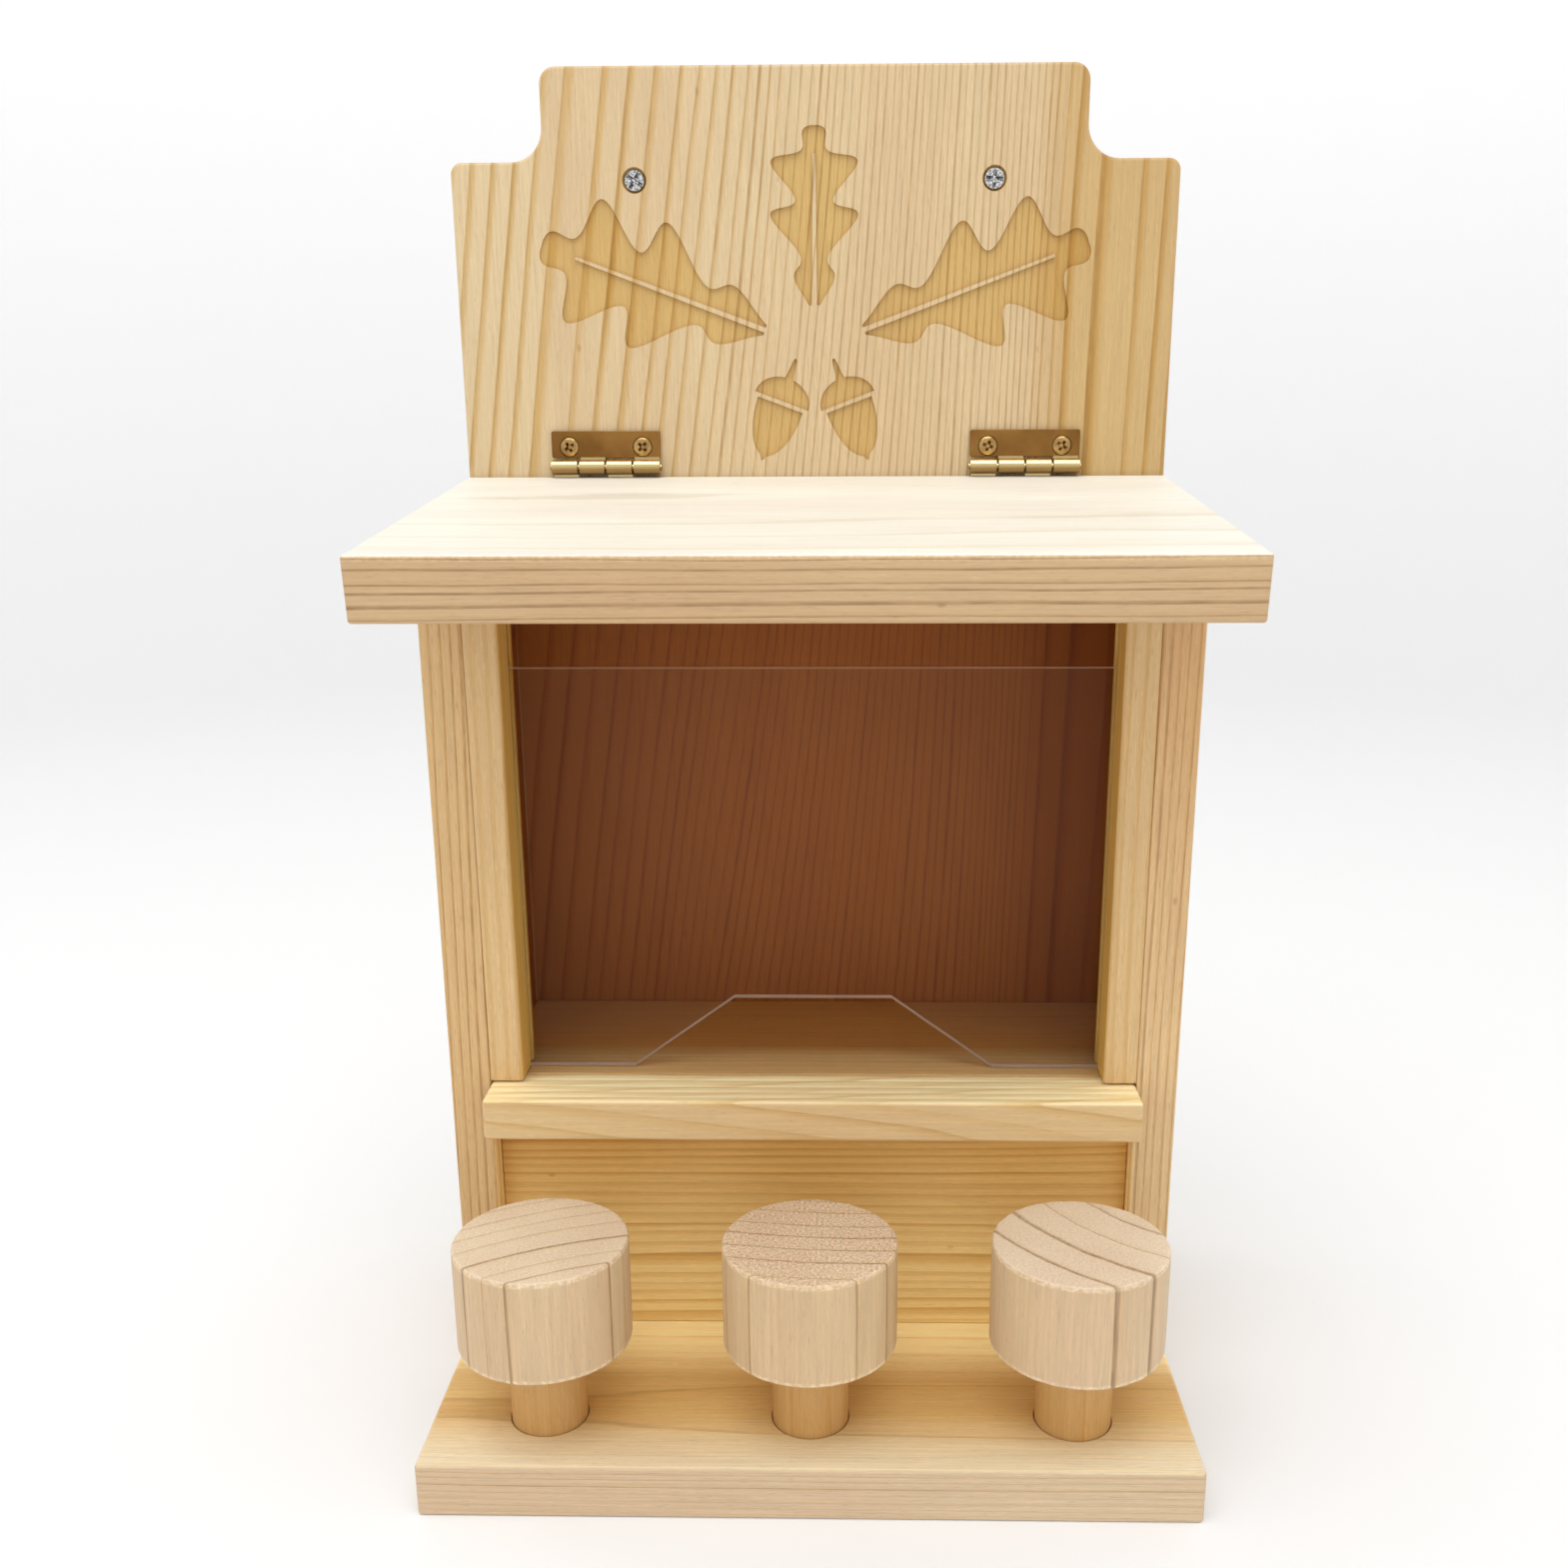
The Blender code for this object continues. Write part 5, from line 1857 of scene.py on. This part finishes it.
def finishes() -> dict[str, Material]:
    """Make every finish of the feeder.

    Returns:
        Materials by name.
    """
    # Real stains, painted light and painted shade lie in boxes, low corner and high corner in mm, and far is
    # beyond the feeder
    far = 300.0
    # Painted shade: inside the hopper, the back, walls and floor are darkened to a warm brown where the lid
    # and walls keep the light out
    hopper_shade, white = (0.54, 0.205, 0.04), (1.25, 1.35, 1.5)
    thin = (0.4, 0.4, 0.4)
    shaded_hopper_back = StainAndPaintedLight((-72.0, 40.0, 73.0), (72.0, 58.0, 199.0), hopper_shade)
    shaded_hopper_walls = StainAndPaintedLight((-72.3, 12.0, 73.0), (72.3, 60.0, 220.0), hopper_shade)
    shaded_hopper_floor = StainAndPaintedLight((-90.0, 14.0, 72.0), (90.0, 60.0, 80.0), (0.85, 0.62, 0.38), (6.0, 6.0, 1.2))
    resin_right = StainAndPaintedLight((48.0, 0.0, -far), (100.0, 90.0, far), (0.87, 0.78, 0.59), (9.0, 9.0, 9.0))
    # Painted shade: the base's top is darker and warmer behind its pale front strip, where the box, lid and
    # stools shade it
    shaded_base_top = StainAndPaintedLight((-far, -46.0, 11.3), (far, 120.0, 12.9), (0.94, 0.735, 0.415), (1.0, 14.0, 0.4))
    # Painted light: the walls' inner faces beside the lower front panel are lightened, taking away the shade
    # of that corner
    lit_recess_cheeks = StainAndPaintedLight((-71.7, -2.3, 8.0), (71.7, 4.5, 67.0), (1.75, 2.15, 2.45), (0.4, 0.3, 1.2))
    # Painted shade: the guide strips' inner faces beside the clear panel are darkened to amber
    shaded_strip_cheeks = StainAndPaintedLight((-64.6, -2.1, 70.0), (64.6, 20.0, 220.0), (1.12, 0.98, 0.50), (0.5, 0.5, 1.2))
    # Painted light: the right wall is paler towards its foot, so its top stays darker as in the lid's shade
    lit_right_wall_foot = StainAndPaintedLight((0.0, -far, -200.0), (far, far, 155.0), (1.13, 1.29, 1.50), (1.0, 1.0, 75.0))
    shaded_front = StainAndPaintedLight((-far, -far, 24.0), (far, far, 120.0), (0.84, 0.68, 0.44), (1.0, 1.0, 34.0))
    # Painted light: the back of the base's top is lightened where it lies in shade under the counter
    lit_rear_base = StainAndPaintedLight((-far, -19.0, 11.3), (far, 40.0, 12.9), (1.55, 1.96, 2.74), (1.0, 12.0, 0.4))
    rims = (52.1, 30.6)
    seat_rims = tuple(StainAndPaintedLight((-far, -far, rim), (far, 0.0, rim + 1.2), white, thin, 0.8) for rim in rims)
    # Painted highlight: a pale, broken line along the lid's front upper arris
    lid_arris_highlight = StainAndPaintedLight((-far, -48.6, 191.2), (far, -46.9, 193.2), (1.2, 1.25, 1.35), thin, 0.6)
    amber, grey, umber = (0.80, 0.62, 0.28), (0.46, 0.37, 0.30), (0.34, 0.25, 0.18)
    back = {
        "sway_mm": 1.0, "years": BACK_YEARS, "wide": BACK_WIDE, "leans": BACK_LEAN, "level": BACK_LEVEL,
        "stains_and_painted_light": (shaded_hopper_back, resin_right), "faintest": 0.75, "contrast": 0.9, "line_contrast": 0.78,
        "thin": 0.12, "dash": 0.5, "rise": 0.40, "gloss": 0.25, "edge_contrast": 0.35,
    }
    wall = {
        "contrast": 0.8, "line_contrast": 1.0, "thin": 0.34, "ticks": 0.35, "dash": 0.3, "faintest": 0.7,
        "uneven": 0.9, "fibre": 0.13,
    }
    seat = {
        "contrast": 0.3, "line_contrast": 0.9, "rise": 0.30, "sway_mm": 0.5, "ripple": 0.12, "ticks": 0.2,
        "dash": 0.7, "faintest": 0.7, "specks": 0.0, "stains_and_painted_light": seat_rims, "fibre": 0.13, "fibre_mm": 0.8,
    }
    upright, across = Grain.UPRIGHT, Grain.ACROSS
    found = [
        Pine("pine_back", upright, BACK_HEART, 2.0, **pine_tones(215, 191, 151, amber), **back),
        Pine("pine_pocket", upright, BACK_HEART, 2.0, **pine_tones(206, 172, 110, amber), **back),
        Pine(
            "pine_side_left", upright, (-120.0, -30.0), 1.8, **pine_tones(214, 178, 126), **wall,
            stains_and_painted_light=(shaded_hopper_walls, lit_recess_cheeks),
        ),
        Pine(
            "pine_side_right", upright, (30.0, -20.0), 1.8, **pine_tones(213, 172, 120), **wall,
            stains_and_painted_light=(lit_right_wall_foot, shaded_hopper_walls, lit_recess_cheeks),
        ),
        Pine(
            "pine_strip", upright, (0.0, -60.0), 2.2, **pine_tones(220, 187, 134, amber), contrast=1.0,
            ticks=0.35, stains_and_painted_light=(shaded_strip_cheeks,),
        ),
        Pine("pine_floor", across, (80.0, 60.0), 2.2, **pine_tones(222, 186, 128), stains_and_painted_light=(shaded_hopper_floor,)),
        Pine(
            "pine_front", across, (60.0, -120.0), 2.6, **pine_tones(255, 225, 154, (0.78, 0.60, 0.33)),
            contrast=1.0, rise=0.6, sway_mm=3.4, uneven=3.0, line_contrast=0.72, dash=0.5,
            stains_and_painted_light=(shaded_front,),
        ),
        # The up tints of the counter, the base and the lid are painted top light
        Pine(
            "pine_counter", across, (30.0, 40.0), 3.0, **pine_tones(219, 188, 137, amber),
            up=(1.62, 1.92, 2.22), leans=COUNTER_LEAN, contrast=0.5, line_contrast=0.4,
        ),
        Pine(
            "pine_base", across, (-30.0, 60.0), 1.5, **pine_tones(213, 188, 154, line=grey),
            up=(1.22, 1.36, 1.40), grain_under_top_light=0.8, contrast=0.55, line_contrast=0.65, dash=0.5,
            stains_and_painted_light=(shaded_base_top, lit_rear_base),
        ),
        Pine(
            "pine_lid", across, (0.0, 420.0), 2.5, **pine_tones(203, 170, 127, line=grey),
            up=(1.38, 1.98, 3.28), years=LID_YEARS, grain_under_top_light=0.3, contrast=0.4, line_contrast=0.95,
            thin=0.26, faintest=0.8, dash=0.6, gloss=0.6, stains_and_painted_light=(lid_arris_highlight,),
        ),
        Pine(
            "pine_seat_left", upright, (-15.0, -124.0), 5.0, **pine_tones(213, 185, 146, line=umber), **seat,
            speckle=0.14, end=(1.20, 1.33, 1.58),
        ),
        Pine(
            "pine_seat_middle", upright, (10.0, 120.0), 5.0, **pine_tones(212, 183, 142, line=umber), **seat,
            speckle=0.40, end=(1.24, 1.31, 1.55),
        ),
        Pine(
            "pine_seat_right", upright, (98.1, 10.75), 8.2, **pine_tones(214, 186, 148, line=umber), **seat,
            speckle=0.14, end=(1.22, 1.35, 1.62), years=SEAT_YEARS,
        ),
        Pine(
            "pine_post", upright, (0.0, -60.0), 3.5, **pine_tones(208, 164, 102), contrast=0.4,
            line_contrast=0.25,
        ),
        # The flat leaves: rougher than the barrel, and darker as a painted reflection
        Metal("brass_leaf_painted_dark", (0.31, 0.155, 0.042), (0.21, 0.10, 0.026), 0.42, patch_mm=9.0),
        # The barrel's underside is darkened as painted shade
        Metal("brass_barrel", (0.80, 0.64, 0.32), (0.26, 0.14, 0.04), 0.14, underside_shade=0.85),
        Metal("brass_screw", (0.58, 0.38, 0.15), (0.34, 0.20, 0.07), 0.24),
        # Zinc mottled finely bright and dark: the bright patches are painted glints
        Metal("zinc", (0.86, 0.86, 0.85), (0.16, 0.16, 0.17), 0.14, patch_mm=0.45),
        Acrylic("acrylic", (0.97, 0.98, 0.98), 0.02, 1.0),
        # The sawn edges glow a little: painted light
        Acrylic("acrylic_edge", (0.95, 0.72, 0.54), 0.5, 0.4, 1.49, 0.05),
    ]
    return {finish.name: finish.material() for finish in found}


def feeder_screws() -> dict[str, Screw]:
    """Every screw of the feeder, by its CAD node's name.

    Returns:
        The screws, not yet built.
    """
    found: list[Screw] = []

    def add(node: str, kind: ScrewKind, driven: Driven, slot: str, body: Body = Body.FEEDER) -> None:
        """Add one screw, its recess turned on from the last one's."""
        found.append(Screw(node, kind, driven, FIRST_TURN + TURN_STEP * len(found), slot, body))

    for side in SIDES:
        for end in ("outer", "inner"):
            add(f"hinge_{side}_board_screw_{end}", BRASS_SCREW, Driven.BACK, "brass")
            add(f"hinge_{side}_lid_screw_{end}", FLUSH_BRASS_SCREW, Driven.FORWARD, "brass", Body.LID)
        add("mounting_screw_" + side, HANGING_SCREW, Driven.BACK, "zinc")
        for end in ("lower", "upper"):
            add(f"back_screw_{side}_{end}", BOARD_SCREW, Driven.FORWARD, "zinc")
        for end in ("front", "rear"):
            add(f"base_screw_{side}_{end}", BOARD_SCREW, Driven.UP, "zinc")
        for place in ("base", "floor"):
            add(f"back_{place}_screw_{side}", BOARD_SCREW, Driven.FORWARD, "zinc")
    return {screw.node: screw for screw in found}


def main() -> None:
    """Build the feeder's sub-assemblies in order."""
    logging.basicConfig(level=logging.INFO, format="%(name)s: %(message)s")
    Studio().build()
    looks = finishes()
    screws = feeder_screws()

    def named(*starts: str) -> list[Screw]:
        """The screws whose names start so."""
        return [screw for node, screw in screws.items() if node.startswith(starts)]

    BackBoard().build(looks, named("back_", "mounting_"))
    NutBox().build(looks)
    BaseBoard().build(looks["pine_base"], ["stool_post_" + side for side in PLACES], named("base_"))
    Lid().build(looks["pine_lid"])
    for seed, side in enumerate(PLACES, 1):
        Stool(side, seed).build(looks["pine_seat_" + side], looks["pine_post"])
    for side in SIDES:
        held = {leaf: named(f"hinge_{side}_{leaf}_screw") for leaf in ("board", "lid")}
        Hinge(side).build(looks, held)
    ClearPanel().build(looks["acrylic"], looks["acrylic_edge"])
    for screw in screws.values():
        screw.build(looks[screw.kind.finish])


if __name__ == "__main__":
    main()
